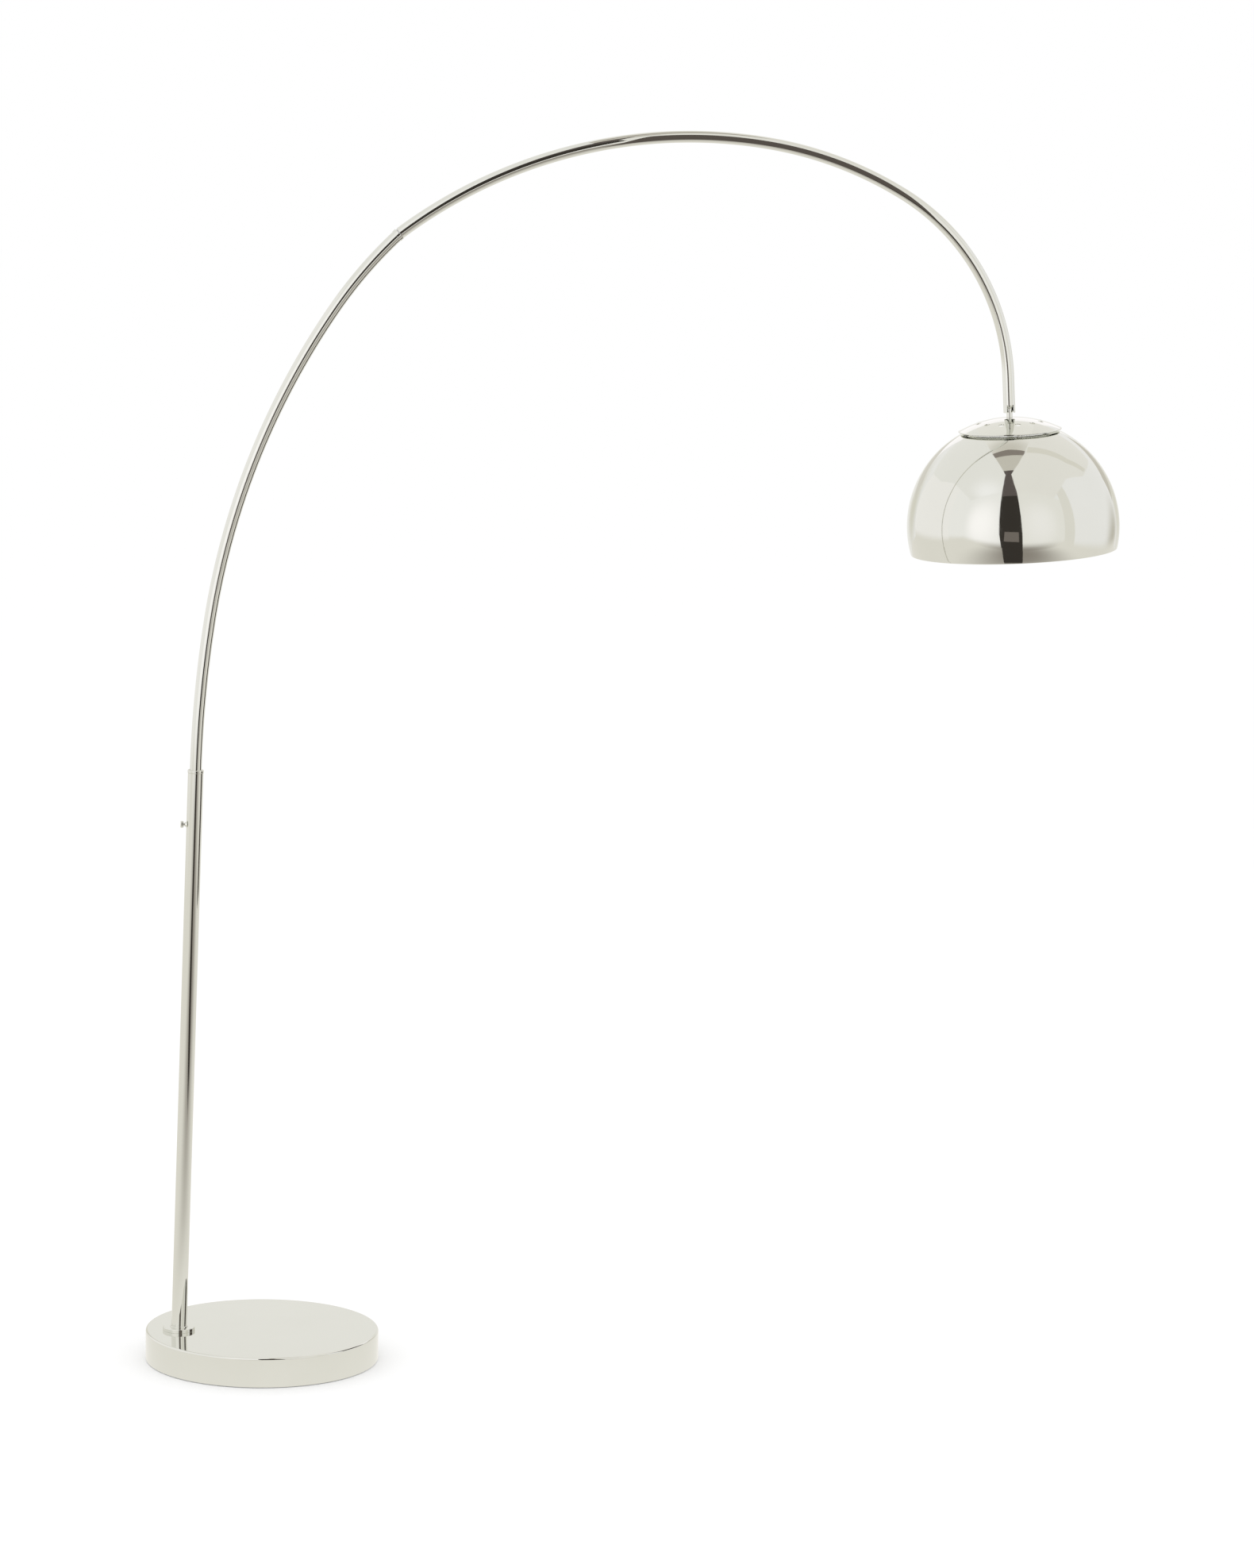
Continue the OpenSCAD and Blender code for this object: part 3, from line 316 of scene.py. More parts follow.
def moved(place, x=0, y=0, z=0):
    return place @ Matrix.Translation((x, y, z))


pole_top = place_of(joints["bow_swivel"]["pos_m"], joints["bow_swivel"]["axis"])
clamp = place_of(joints["clamp_turn"]["pos_m"], joints["clamp_turn"]["axis"])
ball = place_of(joints["shade_turn"]["pos_m"], joints["shade_turn"]["axis"])
SHADE_DROP = 198.5
shade_place = place_of(moved(ball, z=SHADE_DROP).translation, -Vector(joints["shade_turn"]["axis"]))
base = MM.copy()
cord_mount = [mount for mount in frame["record"]["mounts"] if mount["name"] == "cord_inlet"][0]
inlet = place_of(cord_mount["pos_m"], cord_mount["axis"])
stud_low, stud_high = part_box("pole_stud")
POLE_X = 500 * (stud_low.x + stud_high.x)
BASE_TOP = 1000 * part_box("base_cover")[1].z
lean = atan2(joints["bow_swivel"]["axis"][0], joints["bow_swivel"]["axis"][2])
pole_length = (1000 * pole_top.translation.z - BASE_TOP) / cos(lean)
print("pole at", round(POLE_X, 1), "length", round(pole_length, 1), "base top", round(BASE_TOP, 1))

# %% [markdown]
# ## Turned parts
# Most of the lamp is turned or spun, so one helper draws half a section and spins it. Straight
# bits are extruded from the last vertex and round bits are spun from it. A corner can have a
# radius, and a short straight bit on each side of it keeps a big flat face evenly shaded. A
# wide corner takes a step every few degrees, and a corner of up to a millimetre takes fewer.

# %% Helper for turned parts
EASE = 0.3
STEP_WIDE, STEP_TIGHT = 7, 22


class Section:
    """Half a section, with x out from the axis and z along it, in millimetres."""

    def __init__(self, x, z):
        self.mesh = bmesh.new()
        self.first = self.last = self.mesh.verts.new((x, 0, z))

    def line(self, x, z):
        if (self.last.co - Vector((x, 0, z))).length > 1e-3:
            self.last = bmesh.ops.extrude_vert_indiv(self.mesh, verts=[self.last])["verts"][0]
            self.last.co = (x, 0, z)
        return self

    def arc(self, x, z, degrees, steps):
        """Spins the last vertex about (x, z). Positive turns from up to outwards."""
        made = bmesh.ops.spin(self.mesh, geom=[self.last], cent=(x, 0, z), axis=(0, 1, 0),
                              angle=radians(degrees), steps=steps)
        self.last = [v for v in made["geom_last"] if isinstance(v, bmesh.types.BMVert)][0]
        return self

    def corner(self, x, z, radius, towards):
        """Rounds the corner at (x, z) on the way to the point towards."""
        at, before, after = Vector((x, z)), self.last.co.xz, Vector(towards)
        back, on = before - at, after - at
        half = back.angle(on) / 2
        reach = radius / tan(half)
        ease = min(EASE * radius, (min(back.length, on.length) - 2 * reach) / 3)
        back.normalize()
        on.normalize()
        centre = at + (back + on).normalized() * radius / sin(half)
        turn = 180 - 2 * degrees(half)
        if ease > 1e-3:
            self.line(*(at + back * (reach + ease)))
        self.line(*(at + back * reach))
        steps = max(2, round(turn / (STEP_WIDE if radius > 1 else STEP_TIGHT)))
        self.arc(*centre, turn if back.cross(on) > 0 else -turn, steps)
        if ease > 1e-3:
            self.line(*(at + on * (reach + ease)))
        return self

    def through(self, *corners, closed=False):
        """Goes on through (x, z) or (x, z, radius) corners, and back to the start if closed."""
        ends = list(corners[1:]) + [tuple(self.first.co.xz)]
        for corner, following in zip(corners, ends):
            if len(corner) == 3:
                self.corner(*corner, following[:2])
            else:
                self.line(*corner)
        if closed:
            self.mesh.edges.new((self.last, self.first))
        return self

    def turn(self, steps, place):
        """Spins the section into a closed shell and puts it in its place."""
        bm = self.mesh
        bmesh.ops.spin(bm, geom=bm.verts[:] + bm.edges[:], cent=(0, 0, 0), axis=(0, 0, 1),
                       angle=2 * pi, steps=steps, use_merge=True)
        bmesh.ops.remove_doubles(bm, verts=bm.verts[:], dist=1e-4)
        bmesh.ops.recalc_face_normals(bm, faces=bm.faces[:])
        bmesh.ops.transform(bm, matrix=place, verts=bm.verts[:])
        return bm


# %% [markdown]
# ## From mesh to piece
# A finished piece is a smooth-shaded object that rides on its body and stands for its solid.
# Edges sharper than 35 degrees stay crisp. The last helper prints how far the piece's box is
# from the solid's, which catches a wrong size at once.

# %% Helpers for pieces
SHARP = radians(35)


def smooth(mesh):
    mesh.shade_smooth()
    mesh.set_sharp_from_angle(angle=SHARP)


def new_piece(name, bm, finish, body, slot, *nodes):
    mesh = bpy.data.meshes.new(name)
    bm.to_mesh(mesh)
    bm.free()
    piece = bpy.data.objects.new(name, mesh)
    scene.collection.objects.link(piece)
    mesh.materials.append(finish)
    smooth(mesh)
    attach(piece, body)
    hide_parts(*nodes)
    return piece


def keep_result(piece):
    """Replaces a piece's mesh by what its modifiers make of it."""
    bpy.context.view_layer.update()
    seen = piece.evaluated_get(bpy.context.evaluated_depsgraph_get())
    made = bpy.data.meshes.new_from_object(seen)
    old = piece.data
    piece.modifiers.clear()
    piece.data = made
    bpy.data.meshes.remove(old)
    made.name = piece.name
    smooth(made)


def cut_away(piece, cutter_mesh):
    """Cuts a closed mesh out of a piece."""
    data = bpy.data.meshes.new("cutter")
    cutter_mesh.to_mesh(data)
    cutter_mesh.free()
    cutter = bpy.data.objects.new("cutter", data)
    scene.collection.objects.link(cutter)
    cut = piece.modifiers.new("cut", "BOOLEAN")
    cut.object, cut.operation, cut.solver = cutter, "DIFFERENCE", "EXACT"
    keep_result(piece)
    bpy.data.objects.remove(cutter)
    bpy.data.meshes.remove(data)


def give_wall(piece, thickness):
    """Grows a wall inwards from a piece's skin."""
    wall = piece.modifiers.new("wall", "SOLIDIFY")
    wall.thickness, wall.offset = thickness / 1000, -1
    keep_result(piece)


def report_fit(piece, *nodes):
    boxes = [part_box(node) for node in nodes]
    off = 0
    for i in range(3):
        along = [v.co[i] for v in piece.data.vertices]
        off = max(off, abs(min(along) - min(low[i] for low, _ in boxes)),
                  abs(max(along) - max(high[i] for _, high in boxes)))
    print(piece.name, len(piece.data.polygons), "faces, box off by", round(1000 * off, 2), "mm")


# %% [markdown]
# ## Base cover
# The base is a cast disc under a drawn cover of thin plated steel. The cover is one section:
# a flat top, a rounded edge, a straight skirt and a lip that stops short of the floor. The
# hole for the cord's grommet is cut through the back of the skirt afterwards.

# %% Turn the base cover
COVER_R, COVER_EDGE, COVER_WALL, COVER_LIFT = 190, 3, 1.2, 1.5
LIP_EDGE, HOLE_R, HOLE_DEPTH = 0.5, 5.05, 16
cover_in = COVER_R - COVER_WALL
cover_section = Section(0, BASE_TOP).through(
    (COVER_R, BASE_TOP, COVER_EDGE), (COVER_R, COVER_LIFT, LIP_EDGE), (cover_in, COVER_LIFT, LIP_EDGE),
    (cover_in, BASE_TOP - COVER_WALL, COVER_EDGE - COVER_WALL), (0, BASE_TOP - COVER_WALL))
cover = new_piece("cover_skin", cover_section.turn(288, base), plated_steel, "stand", "chrome_steel",
                  "base_cover")
hole = bmesh.new()
bmesh.ops.create_cone(hole, cap_ends=True, segments=48, radius1=HOLE_R, radius2=HOLE_R, depth=HOLE_DEPTH,
                      matrix=inlet)
cut_away(cover, hole)
report_fit(cover, "base_cover")

# %% [markdown]
# ## Foot of the pole
# A turned flange stands on the cover, and a thin ring hides the slanting joint where the
# leaning pole meets the level flange. Both are plain turned rings with broken edges.

# %% Turn the flange and the foot ring
FLANGE_R, FLANGE_H, FLANGE_EDGE, FLANGE_FOOT = 26, 6, 1, 0.2
flange_section = Section(0, FLANGE_H).through(
    (FLANGE_R, FLANGE_H, FLANGE_EDGE), (FLANGE_R, 0, FLANGE_FOOT), (0, 0))
flange = new_piece("flange_skin", flange_section.turn(144, moved(base, x=POLE_X, z=BASE_TOP)),
                   plated_steel, "stand", "chrome_steel", "pole_flange")
report_fit(flange, "pole_flange")

POLE_R, POLE_BORE = 12.5, 11.3
RING_IN, RING_OUT, RING_H, RING_IN_EDGE, RING_OUT_EDGE = POLE_R + 0.1, POLE_R + 2.0, 1.6, 0.15, 0.7
ring_section = Section(RING_IN, RING_H / 2).through(
    (RING_IN, RING_H, RING_IN_EDGE), (RING_OUT, RING_H, RING_OUT_EDGE), (RING_OUT, 0), (RING_IN, 0),
    closed=True)
foot_x = POLE_X + FLANGE_H * tan(lean)
ring = new_piece("foot_ring_skin", ring_section.turn(96, moved(base, x=foot_x, z=BASE_TOP + FLANGE_H)),
                 plated_steel, "stand", "chrome_steel", "foot_ring")
report_fit(ring, "foot_ring")

# %% [markdown]
# ## Pole
# The pole is a straight drawn tube. It could be a stretched cylinder, but a turned section
# gives it a real wall, so it is still a tube when the lamp is taken apart. A collar with small
# chamfers sits on its end and guides the bow.

# %% Turn the pole and its collar
COLLAR_H, COLLAR_R, COLLAR_BORE, COLLAR_SKIRT = 5, 13, 9.8, 8
pole_foot = moved(pole_top, z=-pole_length)
pole_section = Section(POLE_R, pole_length / 2).through(
    (POLE_R, pole_length - COLLAR_H), (POLE_BORE, pole_length - COLLAR_H), (POLE_BORE, FLANGE_H),
    (POLE_R, FLANGE_H), closed=True)
pole = new_piece("pole_skin", pole_section.turn(128, pole_foot), plated_steel, "stand",
                 "chrome_steel", "pole_tube")
report_fit(pole, "pole_tube")

CHAMFER, CHAMFER_EDGE, BORE_EDGE, SKIRT_R = 0.7, 0.12, 0.2, 11.25
collar_section = Section(COLLAR_R, COLLAR_H / 2).through(
    (COLLAR_R, COLLAR_H - CHAMFER, CHAMFER_EDGE), (COLLAR_R - CHAMFER, COLLAR_H, CHAMFER_EDGE),
    (COLLAR_BORE, COLLAR_H, BORE_EDGE), (COLLAR_BORE, -COLLAR_SKIRT), (SKIRT_R, -COLLAR_SKIRT),
    (SKIRT_R, 0), (COLLAR_R - CHAMFER, 0, CHAMFER_EDGE), (COLLAR_R, CHAMFER, CHAMFER_EDGE), closed=True)
collar = new_piece("collar_skin", collar_section.turn(96, moved(pole_top, z=-COLLAR_H)), plated_steel,
                   "stand", "chrome_steel", "pole_collar")
report_fit(collar, "pole_collar")

# %% [markdown]
# ## Height clamp
# A small cone is pressed into the pole, and a thumb screw runs in it. The screw's round head
# has fine flutes so that fingers can grip it. They are made by pressing every fourth column
# of the turned head in a little, which is lighter than cutting each flute.

# %% Turn the boss and the thumb screw
BOSS_BORE, BOSS_FOOT, BOSS_MID, BOSS_TIP = 2.55, 11.4, 13, 15.4
BOSS_FOOT_R, BOSS_TIP_R, BOSS_EDGE = 5.0, 3.2, 0.15
boss_section = Section(BOSS_BORE, BOSS_MID).through(
    (BOSS_BORE, BOSS_TIP, BOSS_EDGE), (BOSS_TIP_R, BOSS_TIP, BOSS_EDGE), (BOSS_FOOT_R, BOSS_FOOT),
    (BOSS_BORE, BOSS_FOOT), closed=True)
boss = new_piece("boss_skin", boss_section.turn(64, clamp), plated_steel, "stand", "chrome_steel",
                 "clamp_boss")
report_fit(boss, "clamp_boss")

SHANK_R, SHANK_START, SHANK_EDGE = 2.5, 12.55, 0.3
HEAD_R, HEAD_START, HEAD_T, HEAD_EDGE, HEAD_FLAT_R = 5.6, 17.1, 5, 1.2, 1.5
COLUMNS, FLUTE_EVERY, FLUTE_REACH, FLUTE_PRESS = 96, 4, 0.5, 0.965
head_end = HEAD_START + HEAD_T
screw_section = Section(0, SHANK_START).through(
    (SHANK_R, SHANK_START, SHANK_EDGE), (SHANK_R, HEAD_START), (HEAD_R, HEAD_START, HEAD_EDGE),
    (HEAD_R, head_end, HEAD_EDGE), (HEAD_FLAT_R, head_end), (0, head_end))
screw_mesh = screw_section.turn(COLUMNS, Matrix.Identity(4))
for v in screw_mesh.verts:
    column = round(COLUMNS / 2 * atan2(v.co.y, v.co.x) / pi)
    if column % FLUTE_EVERY == 0 and v.co.xy.length > HEAD_R - FLUTE_REACH:
        v.co.xy *= FLUTE_PRESS
bmesh.ops.transform(screw_mesh, matrix=clamp, verts=screw_mesh.verts[:])
screw = new_piece("thumb_screw_skin", screw_mesh, plated_steel, "clamp_screw", "chrome_steel",
                  "clamp_screw")
report_fit(screw, "clamp_screw")

# %% [markdown]
# ## Bowed tubes
# The bow is two drawn tubes, each rolled to bends that tighten towards the shade. A ring of
# vertices is pushed straight or spun about each bend's centre, which keeps the tube truly
# round. A curve with a bevel would do as well, but its bends are only near to arcs.

# %% Helper for bent tubes
def bent_tube(steps, radius, place, sides=64):
    """Sweeps a ring from a place. (length,) is straight and (radius, degrees) bends to +X."""
    bm = bmesh.new()
    bmesh.ops.create_circle(bm, segments=sides, radius=radius)
    ring = bm.verts[:] + bm.edges[:]
    here = Matrix.Identity(4)
    for step in steps:
        if len(step) == 1:
            edges = [e for e in ring if isinstance(e, bmesh.types.BMEdge)]
            made = bmesh.ops.extrude_edge_only(bm, edges=edges)["geom"]
            verts = [v for v in made if isinstance(v, bmesh.types.BMVert)]
            edges = [e for e in made if isinstance(e, bmesh.types.BMEdge)]
            ring = verts + [e for e in edges if all(v in verts for v in e.verts)]
            bmesh.ops.translate(bm, verts=verts, vec=here.to_3x3() @ Vector((0, 0, step[0])))
        else:
            ring = bmesh.ops.spin(bm, geom=ring, cent=here @ Vector((step[0], 0, 0)), axis=(0, 1, 0),
                                  angle=radians(step[1]), steps=max(4, round(2 * step[1])))["geom_last"]
        here = here @ along(step)
    bmesh.ops.recalc_face_normals(bm, faces=bm.faces[:])
    bmesh.ops.transform(bm, matrix=place, verts=bm.verts[:])
    return bm


def along(*steps):
    """The move from the start of some steps to their end."""
    move = Matrix.Identity(4)
    for step in steps:
        if len(step) == 1:
            move = move @ Matrix.Translation((0, 0, step[0]))
        else:
            out = Matrix.Translation((step[0], 0, 0))
            move = move @ out @ Matrix.Rotation(radians(step[1]), 4, "Y") @ out.inverted()
    return move


# %% [markdown]
# ## The two tubes
# Each bend is a radius and an angle, from the tail inside the pole to the straight tip. The
# sweep makes a bare skin, and a wall is then grown inwards, because the tubes' outside is what
# their fit and their look depend on. The tip is slotted last with a plain box, which keeps the
# slot's sides crisp and lets the stem swing.

# %% Sweep the tubes
BOW_R, BOW_WALL, TAIL = 9.5, 1.2, 362
LOWER_END = (707, 12.7)
LOWER = [(TAIL,), (1935, 7.3), (1210, 25.5), LOWER_END]
KINK = (12, 6)
UPPER = [(783, 46.1), (622, 21.5), (366, 55.9), (58,)]
tail_place = moved(pole_top, z=-TAIL)
joint_place = tail_place @ along(*LOWER)
upper_place = joint_place @ along(KINK)
tip_place = upper_place @ along(*UPPER)
print("tip to ball", round(1000 * (tip_place.translation - ball.translation).length, 3), "mm")

lower = new_piece("lower_tube_skin", bent_tube(LOWER, BOW_R, tail_place), plated_steel, "bow",
                  "chrome_steel", "lower_tube")
give_wall(lower, BOW_WALL)
report_fit(lower, "lower_tube")
upper = new_piece("upper_tube_skin", bent_tube(UPPER, BOW_R, upper_place), plated_steel, "bow",
                  "chrome_steel", "upper_tube")
give_wall(upper, BOW_WALL)
SLOT_W, SLOT_LEN = 10.6, 26
slot_cut = bmesh.new()
slot_box = Matrix.Diagonal((SLOT_W, 2 * BOW_R, SLOT_LEN, 1))
bmesh.ops.create_cube(slot_cut, size=1, matrix=moved(ball, y=-BOW_R, z=SLOT_LEN / 2) @ slot_box)
cut_away(upper, slot_cut)
report_fit(upper, "upper_tube")

# %% [markdown]
# ## Joint ring
# The two tubes meet at a slight kink. A thin ring on the lower tube's end covers the seam and
# stops the upper tube. It is short enough to be straight, so it is turned.

# %% Turn the joint ring
FERRULE_LEN, FERRULE_T, FERRULE_EDGE, SEAT = 6, 0.8, 0.25, 0.02
back_half = along((LOWER_END[0], -degrees(FERRULE_LEN / 2 / LOWER_END[0])))
ferrule_in, ferrule_out = BOW_R + SEAT, BOW_R + SEAT + FERRULE_T
ferrule_section = Section(ferrule_out, 0).through(
    (ferrule_out, FERRULE_LEN / 2, FERRULE_EDGE), (ferrule_in, FERRULE_LEN / 2),
    (ferrule_in, -FERRULE_LEN / 2), (ferrule_out, -FERRULE_LEN / 2, FERRULE_EDGE), closed=True)
ferrule = new_piece("ferrule_skin", ferrule_section.turn(96, joint_place @ back_half), plated_steel,
                    "bow", "chrome_steel", "joint_ferrule")
report_fit(ferrule, "joint_ferrule")

# %% [markdown]
# ## Ball joint
# A drilled ball sits in the bow's end, and a hollow stem hangs from it through the slot. Both
# are turned. The stem carries the cap, the dome and the lamp holder.

# %% Turn the ball and the stem
BALL_R, STEM_R, STEM_BORE = 7.9, 4.95, 3.2
ball_bore = STEM_R + 0.05
ball_face = sqrt(BALL_R ** 2 - ball_bore ** 2)
ball_section = Section(ball_bore, ball_face)
ball_section.arc(0, 0, 2 * degrees(atan2(ball_face, ball_bore)), 40).through(closed=True)
ball_skin = new_piece("ball_skin", ball_section.turn(96, ball), plated_steel, "swivel_ball",
                      "chrome_steel", "swivel_ball")
report_fit(ball_skin, "swivel_ball")

STEM_START, STEM_MID, STEM_EDGE = 130, 150, 0.3
STEM_HEAD_LOW, STEM_HEAD_HIGH, STEM_HEAD_PROUD, STEM_HEAD_EDGE = 2, 5, 1, 0.2
head_low, head_high = SHADE_DROP + STEM_HEAD_LOW, SHADE_DROP + STEM_HEAD_HIGH
head_out = STEM_R + STEM_HEAD_PROUD
stem_section = Section(STEM_R, STEM_MID).through(
    (STEM_R, head_low), (head_out, head_low, STEM_HEAD_EDGE), (head_out, head_high, STEM_HEAD_EDGE),
    (STEM_BORE, head_high), (STEM_BORE, STEM_START), (STEM_R, STEM_START, STEM_EDGE), closed=True)
stem = new_piece("stem_skin", stem_section.turn(96, shade_place), plated_steel, "shade", "chrome_steel",
                 "shade_stem")
report_fit(stem, "shade_stem")

# %% [markdown]
# ## Shade
# The shade is spun from aluminium. Its dome is most of a sphere: the section rounds off a flat
# collar, follows the sphere down, rolls the rim inwards into a hem and follows the inside back
# up. The rows are close together, because a mirror shows the smallest flat.

# %% Spin the dome
DOME_R, SHADE_WALL, RIM_DROP, DOME_OPENING, COLLAR_OUT, HEM_R = 173, 0.8, 40, 68, 80.75, 0.9
dome_in = DOME_R - SHADE_WALL
dome_top = sqrt(DOME_R ** 2 - COLLAR_OUT ** 2)
SHOULDER, OPENING_LIP, OPENING_EDGE = 2, 6, 0.35
shoulder_x = sqrt((DOME_R - SHOULDER) ** 2 - (dome_top - SHOULDER) ** 2)
shoulder_angle = degrees(atan2(shoulder_x, dome_top - SHOULDER))
hem_spot = DOME_R - HEM_R
hem_angle = 90 + degrees(asin(RIM_DROP / hem_spot))
hem_x = hem_spot * sin(radians(hem_angle))
hem_end = degrees(asin((dome_in - hem_spot) / HEM_R))
under_angle = degrees(acos((dome_top - SHADE_WALL) / dome_in))
dome_section = Section(DOME_OPENING + OPENING_LIP, dome_top)
dome_section.line(shoulder_x - EASE, dome_top).line(shoulder_x, dome_top)
dome_section.arc(shoulder_x, dome_top - SHOULDER, shoulder_angle, 5)
dome_section.arc(0, 0, hem_angle - shoulder_angle, 72)
dome_section.arc(hem_x, -RIM_DROP, 270 + hem_end, 18)
inner_angle = hem_angle - degrees(HEM_R * cos(radians(hem_end)) / dome_in)
dome_section.arc(0, 0, under_angle - inner_angle, 72)
dome_section.through((DOME_OPENING, dome_top - SHADE_WALL, OPENING_EDGE),
                     (DOME_OPENING, dome_top, OPENING_EDGE), closed=True)
dome = new_piece("dome_skin", dome_section.turn(256, shade_place), spun_plate, "shade",
                 "chrome_aluminium", "shade_dome")
dome.data.materials.append(enamel)
centre = shade_place.translation
for face in dome.data.polygons:
    inside = (face.center - centre).length < (dome_in + 0.1) / 1000
    face.material_index = int(inside and (shade_place.inverted() @ face.center).z < dome_top - 1)
report_fit(dome, "shade_dome")

# %% [markdown]
# ## Vented cap
# A shallow cap floats over the dome's opening on three studs. It is spun like the dome, with a
# rolled bead round its edge, and then punched with a ring of vents.

# %% Spin the cap and punch its vents
CAP_R, CAP_GAP, STEM_HOLE = 83, 4.4, 5.15
VENTS, VENT_R, VENT_RING, VENT_FIRST = 12, 4.7, 52, radians(3)
cap_in, cap_out = DOME_R + CAP_GAP, DOME_R + CAP_GAP + SHADE_WALL
bead_spot = cap_in + SHADE_WALL / 2
bead_angle = degrees(asin(CAP_R / bead_spot))
bead_z = bead_spot * cos(radians(bead_angle))
bead_meet = degrees(asin(SHADE_WALL / 2 / HEM_R))
bead_back = HEM_R * cos(radians(bead_meet))
cap_start = degrees(asin(STEM_HOLE / cap_out))
outer_sweep = bead_angle - degrees(bead_back / cap_out) - cap_start
cap_section = Section(STEM_HOLE, cap_out * cos(radians(cap_start)))
cap_section.arc(0, 0, outer_sweep, 56).arc(CAP_R, bead_z, 360 - 2 * (90 - bead_meet), 18)
inner_start = bead_angle - degrees(bead_back / cap_in)
cap_section.arc(0, 0, degrees(asin(STEM_HOLE / cap_in)) - inner_start, 56).through(closed=True)
cap = new_piece("cap_skin", cap_section.turn(288, shade_place), spun_plate, "shade",
                "chrome_aluminium", "shade_cap")
punch = bmesh.new()
for i in range(VENTS):
    turn = Matrix.Rotation(VENT_FIRST + 2 * pi * i / VENTS, 4, "Z")
    spot = turn @ Matrix.Translation((VENT_RING, 0, cap_in))
    bmesh.ops.create_cone(punch, cap_ends=True, segments=64, radius1=VENT_R, radius2=VENT_R, depth=60,
                          matrix=shade_place @ spot)
cut_away(cap, punch)
report_fit(cap, "shade_cap")

# %% [markdown]
# ## Bulb
# A frosted globe bulb with a screw cap. The glass is one section: the round end, a cone and
# a soft bend into the neck.

# %% Turn the bulb's glass
BULB_R, BULB_CENTRE, BULB_CONE, BULB_WALL = 30, 24, 62, 1.0
NECK_R, NECK_LEN, NECK_TOP, NECK_BEND = 13, 8, 74, 14
bulb_section = Section(0, BULB_CENTRE - BULB_R)
bulb_section.arc(0, BULB_CENTRE, BULB_CONE - 180, 48)
bulb_section.through((NECK_R, NECK_TOP - NECK_LEN, NECK_BEND), (NECK_R, NECK_TOP))
bulb = new_piece("bulb_skin", bulb_section.turn(96, shade_place), frosted, "shade", "bulb_glass",
                 "bulb_glass")
give_wall(bulb, BULB_WALL)
report_fit(bulb, "bulb_glass")

# %% [markdown]
# ## Studio
# Mirror metal is only as good as what it reflects. The lamp stands in a room of white sheets:
# two bright sheets on the camera's side with a dark gap between them, walls with rails, and a
# roof of two sheets whose curved edges nearly touch. The gap draws the dark line down the dome
# and along the tubes, and the roof's opening shows on the shade's top. Real lamps and a bright
# picture of a studio would also work, but cards are easy to place one by one. In this room x
# is to the right, y is up and z comes towards the camera, all in metres.

# %% Studio helpers
STUDIO = Matrix((aside, above, -ahead)).transposed().to_4x4()
FLOOR = (0.91, 0.885, 0.835)
# Painted light and shade on the floor that only mirrors see: a dark pool of painted shade in front, where it faces
# the gap, and a paler patch of painted light round the lamp's foot.
FLOOR_LIGHT_AND_SHADE = [(1.5, 0, 2.9, 4.2, (0.33, 0.30, 0.27)), (0, 0, 0.1, 1.0, (0.97, 0.95, 0.91))]


def glow(name, shade, spots=(), fade=None, one_sided=False):
    """Light of an even shade with soft round spots: (x, y, z, radius, shade). Between the two
    heights of a fade it turns into the floor's shade. One-sided light is clear from behind."""
    material = bpy.data.materials.new(name)
    material.use_nodes = True
    tree = material.node_tree
    tree.nodes.clear()
    output = tree.nodes.new("ShaderNodeOutputMaterial")
    emission = tree.nodes.new("ShaderNodeEmission")
    tree.links.new(output.inputs["Surface"], emission.outputs["Emission"])
    colour = spotted(tree, shade, spots)
    if fade:
        place = tree.nodes.new("ShaderNodeTexCoord").outputs["Object"]
        height = add_node(tree, "ShaderNodeSeparateXYZ", [(0, place)]).outputs["Y"]
        up = add_node(tree, "ShaderNodeMapRange", [("Value", height)], interpolation_type="SMOOTHERSTEP")
        up.inputs["From Min"].default_value, up.inputs["From Max"].default_value = fade
        mixed = add_node(tree, "ShaderNodeMix", [("Factor", up.outputs["Result"]),
                                                 (6, spotted(tree, FLOOR, FLOOR_LIGHT_AND_SHADE)), (7, colour)],
                         data_type="RGBA")
        colour = mixed.outputs[2]
    tree.links.new(emission.inputs["Color"], colour)
    if one_sided:
        back = tree.nodes.new("ShaderNodeNewGeometry").outputs["Backfacing"]
        clear = tree.nodes.new("ShaderNodeBsdfTransparent")
        front = add_node(tree, "ShaderNodeMixShader", [(0, back), (1, emission.outputs["Emission"]),
                                                       (2, clear.outputs["BSDF"])])
        tree.links.new(output.inputs["Surface"], front.outputs["Shader"])
    return material


def spotted(tree, shade, spots):
    """An even shade with soft round spots mixed in, one after another."""
    place = tree.nodes.new("ShaderNodeTexCoord").outputs["Object"]
    colour = tree.nodes.new("ShaderNodeRGB")
    colour.outputs[0].default_value = (*shade, 1)
    colour = colour.outputs[0]
    for x, y, z, radius, spot_shade in spots:
        away = add_node(tree, "ShaderNodeVectorMath", [(0, place)], operation="DISTANCE")
        away.inputs[1].default_value = (x, y, z)
        close = add_node(tree, "ShaderNodeMapRange", [("Value", away.outputs["Value"])],
                         interpolation_type="SMOOTHERSTEP")
        close.inputs["From Min"].default_value = radius
        close.inputs["From Max"].default_value = 0
        mixed = add_node(tree, "ShaderNodeMix", [("Factor", close.outputs["Result"]), (6, colour)],
                         data_type="RGBA")
        mixed.inputs[7].default_value = (*spot_shade, 1)
        colour = mixed.outputs[2]
    return colour


def card(name, finish, *corners):
    """A flat card through (x, y, z) corners that only mirrors see."""
    bm = bmesh.new()
    bm.faces.new([bm.verts.new(corner) for corner in corners])
    mesh = bpy.data.meshes.new(name)
    bm.to_mesh(mesh)
    bm.free()
    mesh.materials.append(finish)
    panel = bpy.data.objects.new(name, mesh)
    scene.collection.objects.link(panel)
    panel.matrix_world = STUDIO
    for kind in ("camera", "diffuse", "transmission", "volume_scatter", "shadow"):
        setattr(panel, "visible_" + kind, False)


